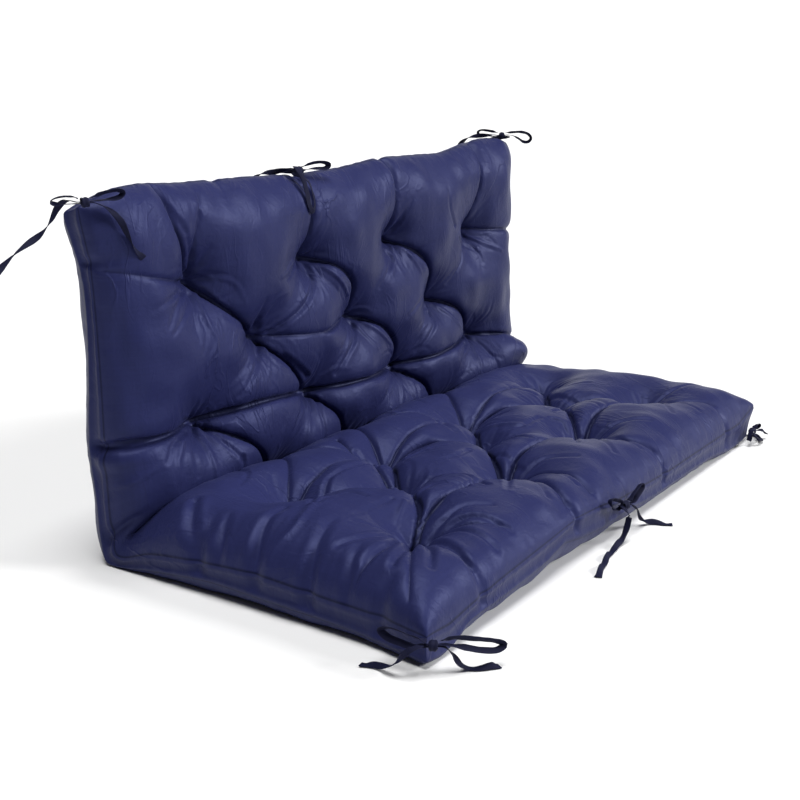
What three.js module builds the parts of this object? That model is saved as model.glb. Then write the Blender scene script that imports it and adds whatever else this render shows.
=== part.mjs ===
// Tufted swing seat cushion: one long filled pad folded into a seat and a back, with six pairs of tie straps.
// Millimetres. X runs along the width, Y from the front edge of the seat to the rear of the back, Z up. The
// origin is on the underside of the seat, at the middle of the width, below the rearmost row of seat tufts.
import * as THREE from "three";

// Driving dimensions.
const halfWidth = 598; // middle of the width to the seam at an end
const cornerEar = 14; // how far a corner of the pad stands out past the straight seam
const earReach = 75; // how far along the edge that corner is felt
const edgeRoll = 88; // from a seam in to the full height of the top cloth
const underRoll = 125; // the same for the under cloth
const tuftReach = 52; // how wide a tuft's dimple is
const valleyDepth = 0.34; // share of the crown lost along the line between two neighbouring tufts
const valleyReach = 26; // half width of that valley
const longestValley = 205; // tufts further apart than this have no valley between them
const frontReach = 90; // how far back from the front edge its rise and fall is felt
const lowBulge = 38; // how far the lowest band of the back stands out further at the right end
const lowBulgeAt = 560; // the x of that bulge
const lowBulgeAcross = 130;
const lowBulgeAlong = 46;
const cornerTuck = 45; // how far the front corner on the right is drawn in at its bottom
const tuckFrom = 500; // x from which it is felt
const tuckReach = 150; // how far back from the front edge it is felt
const tuckHeight = 70;
const acrossCells = 40; // mesh cells along the width
const alongCells = 38; // mesh cells from the top of the back to the front of the seat

const strapWidth = 10;
const strapThick = 1.4;
const strapPinch = 0.55; // a strap's width inside its knot, as a share of its full width
const strapStep = 11; // mesh step along a strap
const passStep = 6; // the first step on each side of the middle of the knot
const tailTurn = 0.045; // how far a hanging tail turns about itself, in radians per mm
const loopTilt = 0.6; // how far a loop is turned about its own run, so that it opens to the front
const settleReach = 30; // length of tail over which a lying one comes to lie flat
const tailTilt = 0.8; // how far a lying tail leans towards the front between its ends
const tailWave = 50; // length of one such lean
const knotLength = 11;
const knotOuter = 7.2; // radius of the turn that makes the knot
const knotInner = 4.6;
const knotLip = 2; // how far the knot's rim is cut back
const knotSides = 10;
const passGap = 1.1; // each strap's height above or below the middle of its knot
const passReach = 12; // how far a strap runs straight on each side of the middle of its knot

// The section of the pad, from the top of the back down to the fold and on to the front of the seat. Each row
// holds the place of the cloth at an end seam, at a tuft and on a crown, as [y, z].
const topCloth = [
  { name: "top", seam: [197, 574], tuft: [196, 574], crown: [152, 578] },
  { name: "back 1", seam: [198, 430], tuft: [197, 430], crown: [146, 430] },
  { name: "back 2", seam: [199, 305], tuft: [190, 305], crown: [146, 305] },
  { name: "back 3", seam: [203, 190], tuft: [184, 190], crown: [143, 198] },
  { name: "low band", seam: [206, 110], tuft: [181, 122], crown: [130, 138] },
  { name: "last of the back", seam: [203, 55], tuft: [181, 90], crown: [146, 100] },
  { name: "fold", seam: [194, 20], tuft: [182, 66], crown: [174, 74] },
  { name: "rear band", seam: [113, 39], tuft: [92, 78], crown: [90, 112] },
  { name: "seat 1", seam: [0, 50], tuft: [0, 80], crown: [0, 118] },
  { name: "seat 2", seam: [-98, 55], tuft: [-98, 80], crown: [-98, 121] },
  { name: "seat 3", seam: [-238, 48], tuft: [-238, 80], crown: [-238, 121] },
  { name: "front", seam: [-401, 48], tuft: [-401, 56], crown: [-401, 112] },
];
const underCloth = [
  { name: "top", seam: [234, 564], tuft: [236, 564], crown: [278, 564] },
  { name: "back 1", seam: [216, 430], tuft: [236, 430], crown: [284, 430] },
  { name: "back 2", seam: [224, 305], tuft: [236, 305], crown: [284, 305] },
  { name: "back 3", seam: [238, 190], tuft: [236, 190], crown: [284, 190] },
  { name: "low band", seam: [230, 100], tuft: [226, 110], crown: [281, 100] },
  { name: "last of the back", seam: [229, 42], tuft: [224, 74], crown: [276, 52] },
  { name: "fold", seam: [221, 3], tuft: [206, 44], crown: [236, 10] },
  { name: "rear band", seam: [113, 14], tuft: [110, 46], crown: [126, -26] },
  { name: "seat 1", seam: [0, 25], tuft: [0, 46], crown: [0, -26] },
  { name: "seat 2", seam: [-98, 22], tuft: [-98, 46], crown: [-98, -26] },
  { name: "seat 3", seam: [-238, 17], tuft: [-238, 44], crown: [-238, -26] },
  { name: "front", seam: [-400, 4], tuft: [-400, 20], crown: [-400, -10] },
];

// The long edges wander. Each table holds x and how far the edge lies above the section there.
const topEdge = [
  [-612, -8], [-540, 14], [-490, 17], [-420, 12], [-250, 9], [-117, 4], [4, 7], [130, 18], [341, 14],
  [418, 24], [490, 35], [562, 34], [612, 22],
];
const frontSeam = [
  [-612, -1], [-557, -8], [-426, 8], [-182, 26], [-115, 21], [-36, 9], [173, -1], [526, -1], [612, 22],
];
const frontUnderSeam = [
  [-612, 3], [-575, -1], [-540, 5], [-505, 22], [-372, 25], [-290, 30], [-227, 44], [-170, 32], [-94, 23],
  [1, 24], [105, 16], [265, 16], [376, 14], [476, 0], [612, 1],
];

// The tufts: x, and how far each lies past the row that it belongs to, towards the front of the seat.
const tuftRows = [
  { row: "back 1", tufts: [[-407, 1], [-133, 1], [130, -5], [408, 11]] },
  { row: "back 2", tufts: [[-267, -6], [-1, 0], [266, 9]] },
  { row: "back 3", tufts: [[-425, -10], [-136, 3], [137, 12], [418, -3]] },
  { row: "fold", tufts: [[-255, 0], [-32, 0], [266, 0]] },
  { row: "seat 1", tufts: [[-407, 0], [-148, 0], [118, 5], [426, 1]] },
  { row: "seat 2", tufts: [[-266, 20], [20, 2], [292, -8]] },
  { row: "seat 3", tufts: [[-425, 14], [-124, -6], [138, 0], [411, 0]] },
];

const clothMaterial = new THREE.MeshStandardMaterial({ color: 0x26285a, roughness: 0.5, metalness: 0 });
const strapMaterial = new THREE.MeshStandardMaterial({ color: 0x16172e, roughness: 0.75, metalness: 0 });

// Distance of each row from the top of the back, measured along the tufts of the top cloth.
function rowDistances(rows) {
  const at = [0];
  for (let i = 1; i < rows.length; i++) {
    const [y0, z0] = rows[i - 1].tuft;
    const [y1, z1] = rows[i].tuft;
    at.push(at[i - 1] + Math.hypot(y1 - y0, z1 - z0));
  }
  return at;
}

const rowAt = rowDistances(topCloth);
const rowNamed = (name) => rowAt[topCloth.findIndex((r) => r.name === name)];
const padLength = rowAt[rowAt.length - 1];
const tufts = tuftRows.flatMap(({ row, tufts }) =>
  tufts.map(([x, shift]) => ({ x, s: rowNamed(row) + shift })),
);
const cloths = [
  { rows: topCloth, reach: edgeRoll, frontEdge: frontSeam, bulge: lowBulge },
  { rows: underCloth, reach: underRoll, frontEdge: frontUnderSeam, bulge: 0 },
];

// A smooth curve through the rows' values (cubic, with each row's slope taken from its neighbours).
function along(rows, column, s) {
  let i = 0;
  while (i < rowAt.length - 2 && s > rowAt[i + 1]) i++;
  const span = rowAt[i + 1] - rowAt[i];
  const t = (s - rowAt[i]) / span;
  return [0, 1].map((k) => {
    const value = (j) => rows[THREE.MathUtils.clamp(j, 0, rows.length - 1)][column][k];
    const place = (j) => rowAt[THREE.MathUtils.clamp(j, 0, rows.length - 1)];
    const slope = (j) => (value(j + 1) - value(j - 1)) / Math.max(place(j + 1) - place(j - 1), 1);
    const a = value(i);
    const b = value(i + 1);
    const t2 = t * t;
    const t3 = t2 * t;
    return (
      a * (2 * t3 - 3 * t2 + 1) +
      b * (3 * t2 - 2 * t3) +
      span * (slope(i) * (t3 - 2 * t2 + t) + slope(i + 1) * (t3 - t2))
    );
  });
}

// The height in one of the edge tables at x.
function edgeRise(table, x) {
  let i = 1;
  while (i < table.length - 1 && x > table[i][0]) i++;
  const [[x0, rise0], [x1, rise1]] = [table[i - 1], table[i]];
  return THREE.MathUtils.mapLinear(THREE.MathUtils.clamp(x, x0, x1), x0, x1, rise0, rise1);
}

// Quarter ellipse: 0 at the seam, 1 from the given reach inwards.
function roll(distance, reach) {
  const t = THREE.MathUtils.clamp(distance / reach, 0, 1);
  return Math.sqrt(1 - (1 - t) * (1 - t));
}

function distanceToSegment(x, s, a, b) {
  const dx = b.x - a.x;
  const ds = b.s - a.s;
  const t = THREE.MathUtils.clamp(((x - a.x) * dx + (s - a.s) * ds) / (dx * dx + ds * ds), 0, 1);
  return Math.hypot(x - a.x - t * dx, s - a.s - t * ds);
}

const valleys = tufts.flatMap((a, i) =>
  tufts.slice(i + 1).filter((b) => Math.hypot(a.x - b.x, a.s - b.s) < longestValley).map((b) => [a, b]),
);

// 0 at a tuft, 1 on a crown, and in between along the valleys from tuft to tuft.
function pillow(x, s) {
  const nearest = Math.min(...tufts.map((t) => Math.hypot(x - t.x, s - t.s)));
  const valley = Math.min(...valleys.map(([a, b]) => distanceToSegment(x, s, a, b)));
  const dimple = 1 - Math.exp(-Math.pow(nearest / tuftReach, 1.4));
  return dimple * (1 - valleyDepth * Math.exp(-((valley / valleyReach) ** 2)));
}

// The seam's x at distance s: straight, with the four corners standing out.
function seamX(s) {
  const corner = Math.min(s, padLength - s);
  return halfWidth + cornerEar * Math.exp(-((corner / earReach) ** 2));
}

// A point of one cloth. u runs from -1 to 1 along the width.
function clothPoint({ rows, reach, frontEdge, bulge }, u, s) {
  const end = seamX(s);
  const x = u * end;
  const rise = roll(end - Math.abs(x), reach) * roll(s, reach) * roll(padLength - s, reach);
  const p = pillow(x, s);
  const seam = along(rows, "seam", s);
  const tuft = along(rows, "tuft", s);
  const crown = along(rows, "crown", s);
  const [y, z] = [0, 1].map((k) => seam[k] + rise * (tuft[k] - seam[k] + p * (crown[k] - tuft[k])));
  const top = edgeRise(topEdge, x) * (1 - THREE.MathUtils.smoothstep(s, 0, rowNamed("back 1")));
  const toFront = THREE.MathUtils.smoothstep(s, padLength - frontReach, padLength);
  const front = edgeRise(frontEdge, x) * toFront * (1 - rise);
  const acrossShare = ((x - lowBulgeAt) / lowBulgeAcross) ** 2;
  const alongShare = ((s - rowNamed("low band")) / lowBulgeAlong) ** 2;
  const swell = bulge * rise * Math.exp(-acrossShare - alongShare);
  const height = Math.max(z + top + front, 0);
  const tuck = cornerTuck * THREE.MathUtils.smoothstep(x, tuckFrom, halfWidth + cornerEar)
    * THREE.MathUtils.smoothstep(s, padLength - tuckReach, padLength)
    * (1 - THREE.MathUtils.smoothstep(height, 0, tuckHeight));
  return [x - tuck, y - swell, height];
}

// Mesh lines stand closer together towards an edge.
function spread(i, cells) {
  const t = (2 * i) / cells - 1;
  return 1.14 * t - 0.14 * t ** 3;
}

// The pad: a grid for each cloth, and the side strip that joins their edges.
function padGeometry() {
  const positions = [];
  const index = [];
  const row = acrossCells + 1;
  const sheet = row * (alongCells + 1);
  for (const cloth of cloths)
    for (let j = 0; j <= alongCells; j++)
      for (let i = 0; i <= acrossCells; i++) {
        const s = (padLength * (1 + spread(j, alongCells))) / 2;
        positions.push(...clothPoint(cloth, spread(i, acrossCells), s));
      }
  const quad = (a, b, c, d) => index.push(a, b, c, a, c, d);
  for (let j = 0; j < alongCells; j++)
    for (let i = 0; i < acrossCells; i++) {
      const k = j * row + i;
      quad(k, k + row, k + row + 1, k + 1);
      quad(sheet + k, sheet + k + 1, sheet + k + row + 1, sheet + k + row);
    }
  const last = alongCells * row;
  for (let i = 0; i < acrossCells; i++) {
    quad(i, i + 1, sheet + i + 1, sheet + i);
    quad(last + i + 1, last + i, sheet + last + i, sheet + last + i + 1);
  }
  for (let j = 0; j < alongCells; j++) {
    const left = j * row;
    const right = left + acrossCells;
    quad(left + row, left, sheet + left, sheet + left + row);
    quad(right, right + row, sheet + right + row, sheet + right);
  }
  return new THREE.BufferGeometry()
    .setAttribute("position", new THREE.Float32BufferAttribute(positions, 3))
    .setIndex(index);
}

// The bows. Each has the middle of its knot, the heading of its straps through the knot in degrees from +X,
// and for both straps the points of the loop before the knot and of the tail after it, as steps in x, y and z
// from the middle of the knot. Strap a makes the loop on the left and passes through below, strap b makes the
// one on the right and passes through on top. A tail turns about itself as it hangs, or comes to lie flat.
const bows = [
  {
    name: "back_left", knot: [-611, 180, 572], heading: -30, tails: "turned",
    loopA: [[-8, 5, 6], [-14, 9, 9], [-26, 17, 10], [-37, 23, 7], [-41, 25, 3], [-35, 23, 0], [-22, 14, -1]],
    tailA: [[17, -11, -4], [28, -19, -12], [40, -26, -28], [49, -30, -50], [59, -32, -72], [73, -33, -88]],
    loopB: [[8, -5, 6], [17, -10, 10], [31, -18, 14], [43, -24, 15], [49, -27, 11], [44, -25, 5], [27, -16, 2]],
    tailB: [[-14, 14, 3], [-16, 25, 2], [-19, 38, -8], [-26, 46, -26], [-40, 50, -42], [-68, 51, -56],
      [-100, 51, -73], [-130, 50, -94], [-150, 48, -116]],
  },
  {
    name: "back_middle", knot: [-127, 184, 583], heading: 0, tails: "turned",
    loopA: [[-9, 0, 6], [-15, -5, 8], [-19, -15, 2], [-17, -24, -14], [-15, -29, -38], [-14, -32, -58],
      [-6, -33, -69], [2, -31, -58], [1, -28, -38], [-3, -22, -18], [-12, -13, -8], [-18, -3, -3]],
    tailA: [[19, 8, -1], [22, 20, -1], [23, 40, -3], [24, 60, -4], [24, 82, -11], [24, 101, -30],
      [24, 109, -62], [24, 110, -102], [24, 110, -140]],
    loopB: [[9, 0, 6], [19, -3, 9], [38, -7, 12], [56, -12, 11], [66, -14, 6], [60, -13, 1], [42, -9, 1],
      [24, -4, 1]],
    tailB: [[-19, 8, 4], [-22, 20, 2], [-22, 40, -2], [-22, 60, -4], [-22, 82, -11], [-22, 101, -30],
      [-22, 109, -62], [-22, 110, -112]],
  },
  {
    name: "back_right", knot: [578, 188, 610], heading: -55, tails: "turned",
    loopA: [[-5, 7, 6], [-11, 16, 9], [-19, 27, 12], [-26, 37, 13], [-30, 43, 9], [-28, 41, 3],
      [-21, 30, 1], [-12, 18, -1]],
    tailA: [[15, -8, -3], [22, 5, -4], [24, 26, -6], [22, 50, -10], [19, 72, -20], [16, 88, -46],
      [14, 92, -90], [12, 92, -130]],
    loopB: [[5, -7, 6], [14, -20, 7], [26, -36, 7], [34, -48, 2], [37, -53, -7], [34, -48, -14],
      [28, -40, -14], [21, -30, -6], [13, -19, 0]],
    tailB: [[-17, 10, 2], [-27, 9, 2], [-37, 18, 2], [-39, 39, 1], [-38, 62, -3], [-37, 86, -20],
      [-36, 98, -54], [-36, 100, -100], [-36, 100, -140]],
  },
  {
    name: "front_left", knot: [-619, -415, 43], heading: -55, tails: "flat",
    loopA: [[-5, 7, 6], [-9, 16, 9], [-10, 32, 11], [-9, 50, 12], [-8, 68, 10], [-7, 77, 4], [-8, 66, -2],
      [-9, 44, -4], [-10, 26, -4]],
    tailA: [[13, -13, -6], [20, -16, -18], [28, -22, -34], [38, -28, -40], [46, -40, -41], [56, -52, -41],
      [68, -58, -41]],
    loopB: [[7, -8, 6], [20, -21, 8], [40, -35, 2], [58, -46, -4], [70, -54, -9], [76, -59, -14],
      [68, -55, -19], [50, -42, -16], [30, -28, -7]],
    tailB: [[-16, 12, 2], [-24, 18, -2], [-28, 30, -16], [-27, 50, -32], [-24, 66, -40], [-24, 82, -41],
      [-27, 96, -41]],
  },
  {
    name: "front_middle", knot: [-46, -413, 54], heading: -20, tails: "flat",
    loopA: [[-9, 3, 6], [-18, 2, 12], [-34, 2, 19], [-48, 2, 25], [-55, 2, 24], [-54, 2, 17], [-41, 2, 8],
      [-25, 4, -2]],
    tailA: [[17, -6, -5], [30, -8, -18], [48, -6, -36], [64, -8, -49], [74, -20, -52], [80, -34, -52],
      [88, -48, -52]],
    loopB: [[9, -3, 6], [20, -3, 12], [36, -4, 19], [50, -4, 23], [56, -4, 18], [49, -4, 12], [33, -5, 7],
      [19, -6, 2]],
    tailB: [[-15, -1, 2], [-19, -10, -1], [-18, -15, -12], [-22, -14, -30], [-40, -12, -48],
      [-88, -16, -52], [-142, -29, -52], [-180, -40, -52]],
  },
  {
    name: "front_right", knot: [566, -413, 26], heading: 0, tails: "flat",
    loopA: [[-8, -3, 6], [-16, -4, 6], [-26, -4, 0], [-31, -4, -8], [-26, -3, -13], [-18, -2, -8]],
    tailA: [[17, -3, -2], [28, -6, -5], [39, -10, -10], [48, -13, -16]],
    loopB: [[8, -1, 6], [16, -2, 9], [26, -3, 9], [31, -3, 5], [27, -2, 2], [20, -1, 1]],
    tailB: [[-16, -7, 2], [-13, -14, -8], [-2, -17, -18], [14, -14, -23], [30, -5, -24], [42, 10, -24],
      [46, 34, -24], [44, 66, -24], [47, 98, -24]],
  },
];

// Direction frames along a strap: its width starts across the knot and is carried along without a turn of
// its own.
function strapFrames(points, middle, across) {
  const tangents = points.map((p, i) =>
    new THREE.Vector3()
      .subVectors(points[Math.min(i + 1, points.length - 1)], points[Math.max(i - 1, 0)])
      .normalize(),
  );
  const widths = new Array(points.length);
  const start = tangents[middle];
  widths[middle] = across.clone().addScaledVector(start, -across.dot(start)).normalize();
  for (const step of [-1, 1])
    for (let i = middle + step; i >= 0 && i < points.length; i += step) {
      const turn = new THREE.Quaternion().setFromUnitVectors(tangents[i - step], tangents[i]);
      widths[i] = widths[i - step].clone().applyQuaternion(turn);
    }
  return { tangents, widths };
}

// A flat strap along its route, pinched where it runs through the knot. Its loop is turned to open to the
// front, and its tail turns about itself or settles flat.
function strapGeometry(route, pass, across, side, tails) {
  const curve = new THREE.CatmullRomCurve3(route, false, "centripetal");
  const points = curve.getSpacedPoints(Math.round(curve.getLength()));
  const away = points.map((p) => p.distanceTo(pass));
  const middle = away.indexOf(Math.min(...away));
  const { tangents, widths } = strapFrames(points, middle, across);
  const onStep = (_, i) => i === middle || (Math.abs(i - middle) - passStep) % strapStep === 0;
  const stations = [...points.keys()].filter(onStep);
  const positions = [];
  const index = [];
  stations.forEach((i, n) => {
    const past = i - middle - 2 * passReach;
    const pinch = THREE.MathUtils.smoothstep(Math.abs(i - middle), knotLength / 2, 2 * passReach);
    const width = strapWidth * THREE.MathUtils.lerp(strapPinch, 1, pinch);
    const before = middle - i - 2 * passReach;
    const tilt = THREE.MathUtils.smoothstep(before, 0, 20) * THREE.MathUtils.smoothstep(i, 0, 12);
    const turned = widths[i].clone().applyAxisAngle(tangents[i], side * loopTilt * tilt);
    if (past > 0 && tails === "turned") turned.applyAxisAngle(tangents[i], past * tailTurn);
    if (past > 0 && tails === "flat") {
      const level = new THREE.Vector3(0, 0, 1).cross(tangents[i]);
      if (level.dot(turned) < 0) level.negate();
      turned.lerp(level.normalize(), THREE.MathUtils.smoothstep(past, 0, settleReach)).normalize();
    }
    const lean = tails === "flat" && past > 0
      ? tailTilt * Math.sin((Math.PI * past) / tailWave) ** 2
        * THREE.MathUtils.smoothstep(points.length - 1 - i, 0, 12)
      : 0;
    turned.applyAxisAngle(tangents[i], side * lean);
    const normal = new THREE.Vector3().crossVectors(tangents[i], turned).normalize();
    for (const [w, h] of [[-1, -1], [1, -1], [1, 1], [-1, 1]]) {
      const p = points[i].clone();
      p.z += (strapWidth / 2) * Math.sin(lean);
      p.addScaledVector(turned, (w * width) / 2).addScaledVector(normal, (h * strapThick) / 2);
      positions.push(p.x, p.y, p.z);
    }
    // The two wide faces are split along the same diagonal, so that a turning strap keeps its thickness.
    if (n > 0)
      for (let k = 0; k < 4; k++) {
        const a = 4 * (n - 1) + k;
        const b = 4 * (n - 1) + ((k + 1) % 4);
        if (k === 2) index.push(a, b, a + 4, b, b + 4, a + 4);
        else index.push(a, b, b + 4, a, b + 4, a + 4);
      }
  });
  const end = 4 * (stations.length - 1);
  index.push(0, 2, 1, 0, 3, 2, end, end + 1, end + 2, end, end + 2, end + 3);
  return new THREE.BufferGeometry()
    .setAttribute("position", new THREE.Float32BufferAttribute(positions, 3))
    .setIndex(index);
}

// The turn of strap round both straps: a ring with rounded lips.
function knotGeometry() {
  const half = knotLength / 2;
  const profile = [
    [knotInner, -half], [knotOuter - knotLip, -half],
    [knotOuter, knotLip - half], [knotOuter, half - knotLip],
    [knotOuter - knotLip, half], [knotInner, half], [knotInner, -half],
  ].map(([r, h]) => new THREE.Vector2(r, h));
  return new THREE.LatheGeometry(profile, knotSides);
}

function addBow(group, { name, knot, heading, tails, loopA, tailA, loopB, tailB }) {
  const middle = new THREE.Vector3(...knot);
  const angle = THREE.MathUtils.degToRad(heading);
  const ahead = new THREE.Vector3(Math.cos(angle), Math.sin(angle), 0);
  const across = new THREE.Vector3(ahead.y, -ahead.x, 0);
  const placed = (steps) => steps.map((p) => new THREE.Vector3(...p).add(middle));
  for (const [letter, side, loop, tail] of [["a", 1, loopA, tailA], ["b", -1, loopB, tailB]]) {
    const pass = middle.clone().add(new THREE.Vector3(0, 0, -side * passGap));
    const straight = [-1, 0, 1].map((k) => pass.clone().addScaledVector(ahead, side * k * passReach));
    const route = [...placed(loop), ...straight, ...placed(tail)];
    const strap = new THREE.Mesh(strapGeometry(route, pass, across, side, tails), strapMaterial);
    strap.name = `tie_${name}_${letter}`;
    group.add(strap);
  }
  const ring = new THREE.Mesh(knotGeometry(), strapMaterial);
  ring.name = `tie_${name}_knot`;
  ring.quaternion.setFromUnitVectors(new THREE.Vector3(0, 1, 0), ahead);
  ring.position.copy(middle);
  group.add(ring);
}

const group = new THREE.Group();
const cushion = new THREE.Mesh(padGeometry(), clothMaterial);
cushion.name = "cushion";
group.add(cushion);
bows.forEach((bow) => addBow(group, bow));

export default group;
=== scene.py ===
# Tufted swing seat cushion: one long filled pad folded into a seat and a back, with six pairs of tie straps.
# Metres. X runs along the width, Y from the front edge of the seat to the rear of the back, Z up.
from math import cos, radians, sin

import bpy
import numpy as np
from mathutils import Matrix, Vector


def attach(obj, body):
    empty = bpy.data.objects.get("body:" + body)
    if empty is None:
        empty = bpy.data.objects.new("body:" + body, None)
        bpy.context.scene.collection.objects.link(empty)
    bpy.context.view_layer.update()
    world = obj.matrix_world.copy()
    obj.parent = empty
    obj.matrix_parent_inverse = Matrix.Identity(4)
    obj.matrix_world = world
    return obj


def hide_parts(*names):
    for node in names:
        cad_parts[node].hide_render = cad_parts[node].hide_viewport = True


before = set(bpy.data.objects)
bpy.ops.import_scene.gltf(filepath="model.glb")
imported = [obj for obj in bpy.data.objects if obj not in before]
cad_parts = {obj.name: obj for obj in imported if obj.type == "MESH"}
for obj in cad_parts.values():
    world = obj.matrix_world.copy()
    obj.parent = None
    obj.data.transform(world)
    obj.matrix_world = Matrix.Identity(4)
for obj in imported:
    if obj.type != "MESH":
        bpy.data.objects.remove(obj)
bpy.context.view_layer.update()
millimetre = 0.001

cameraValues = {
    "place": (-1.768, -1.184, 0.733),
    "headingDegrees": 54.715,  # from +Y towards +X
    "downDegrees": 14.937,
    "rollDegrees": -1.082,
    "focalLength": 54.0,  # in millimetres, as the sensor's width is
    "sensorWidth": 36.0,
}


def makeCamera(values):
    heading, down, roll = (radians(values[k]) for k in ("headingDegrees", "downDegrees", "rollDegrees"))
    ahead = Vector((sin(heading) * cos(down), cos(heading) * cos(down), -sin(down)))
    level = Vector((cos(heading), -sin(heading), 0))
    above = level.cross(ahead)
    right = cos(roll) * level + sin(roll) * above
    up = cos(roll) * above - sin(roll) * level
    data = bpy.data.cameras.new("camera")
    data.sensor_width = values["sensorWidth"]
    data.lens = values["focalLength"]
    camera = bpy.data.objects.new("camera", data)
    camera.matrix_world = Matrix((right, up, -ahead)).transposed().to_4x4()
    camera.location = values["place"]
    bpy.context.collection.objects.link(camera)
    bpy.context.scene.camera = camera


makeCamera(cameraValues)
print("camera set")


def smooth(value, low, high):  # 0 below low, 1 above high, with no corner in between
    t = np.clip((value - low) / (high - low), 0, 1)
    return t * t * (3 - 2 * t)


# Uneven from -1 to 1 along a line: a seeded number at every step, joined smoothly.
def unevenLine(places, step, seed):
    count = 2048
    numbers = np.random.default_rng(seed).uniform(-1, 1, count)
    i = np.floor(places / step).astype(int)
    t = smooth(places / step - i, 0, 1)
    return numbers[i % count] * (1 - t) + numbers[(i + 1) % count] * t


# A cubic from each first point to its second, with a slope given at both: t goes from 0 to 1.
def cubic(first, second, slopeFirst, slopeSecond, t):
    curve = first * (2 * t**3 - 3 * t**2 + 1) + second * (3 * t**2 - 2 * t**3)
    return curve + slopeFirst * (t**3 - 2 * t**2 + t) + slopeSecond * (t**3 - t**2)


# The squares between the rows and columns of a grid of point numbers, as they are or turned over.
def squares(grid, over=False):
    corners = (grid[:-1, :-1], grid[1:, :-1], grid[1:, 1:], grid[:-1, 1:])
    return np.stack(corners[:1] + corners[:0:-1] if over else corners, axis=-1).reshape(-1, 4)


# A new object of points and faces, of which the first few are shaded smooth.
def meshObject(name, points, faces, smoothFaces=0):
    mesh = bpy.data.meshes.new(name)
    mesh.from_pydata(points, [], faces)
    mesh.polygons.foreach_set("use_smooth", np.arange(len(faces)) < smoothFaces)
    mesh.update()
    made = bpy.data.objects.new(name, mesh)
    bpy.context.collection.objects.link(made)
    return made


def giveWeave(mesh, weave):
    layer = mesh.uv_layers.new(name="weave")
    layer.data.foreach_set("uv", np.ascontiguousarray(weave, dtype=np.float32).ravel())


# The ties. Each bow has the middle of its knot, the heading of its straps through the knot in degrees from
# +X, and for both straps the points of the loop before the knot and of the tail after it, as steps in
# millimetres from the middle of the knot. Strap a passes through below, strap b on top.
tieValues = {
    "width": 0.010,
    "thick": 0.0013,
    "step": 0.001,  # from point to point along a strap's route
    "pinch": 0.55,  # width inside the knot, as a share of the full width
    "passGap": 0.0011,  # each strap's height above or below the middle of its knot
    "passReach": 0.012,  # how far a strap runs straight on each side of the middle
    "turn": 45.0,  # how far a hanging tail turns about itself, in radians per metre
    "settleReach": 0.03,  # length over which a lying tail comes to lie flat
    "loopTilt": 0.6,  # how far a loop's strap is turned about itself, so that the loop opens to the front
    "loopEase": 0.02,  # length over which that turn sets in
    "tailTilt": 0.8,  # how far a lying tail leans towards the front between its ends
    "tailWave": 0.05,  # length of one such lean
    "endEase": 0.012,  # length over which a turn or a lean dies away at a strap's end
    "cup": 0.0007,  # how far the edges of a strap curl up
    "cupWave": 0.03,
    "crumple": 0.0006,
    "crumpleWave": 0.011,
    "widthWander": 0.06,  # by which share the width goes up and down
    "widthWave": 0.009,
    "endWidening": 0.22,  # how much wider a cut end spreads
    "endReach": 0.012,
    "lowest": 0.0003,
    "flatness": 0.6,  # of a strap's section: 1 is an oval, and less is nearer to a rectangle
    "around": 14,  # mesh points around a strap
    "knotLength": 0.011,
    "knotOuter": 0.0073,
    "knotInner": 0.0046,
    "knotFlatness": 0.7,
    "knotAround": 48,
    "knotSection": 28,
    "knotWander": 0.12,  # by which share a knot's length goes up and down
    "knotWeave": 0.006,  # radius at which its weave is laid round it
    "pleats": 2.5,
    "pleatSlant": 0.9,
    "pleatDepth": 0.0011,
}
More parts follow.
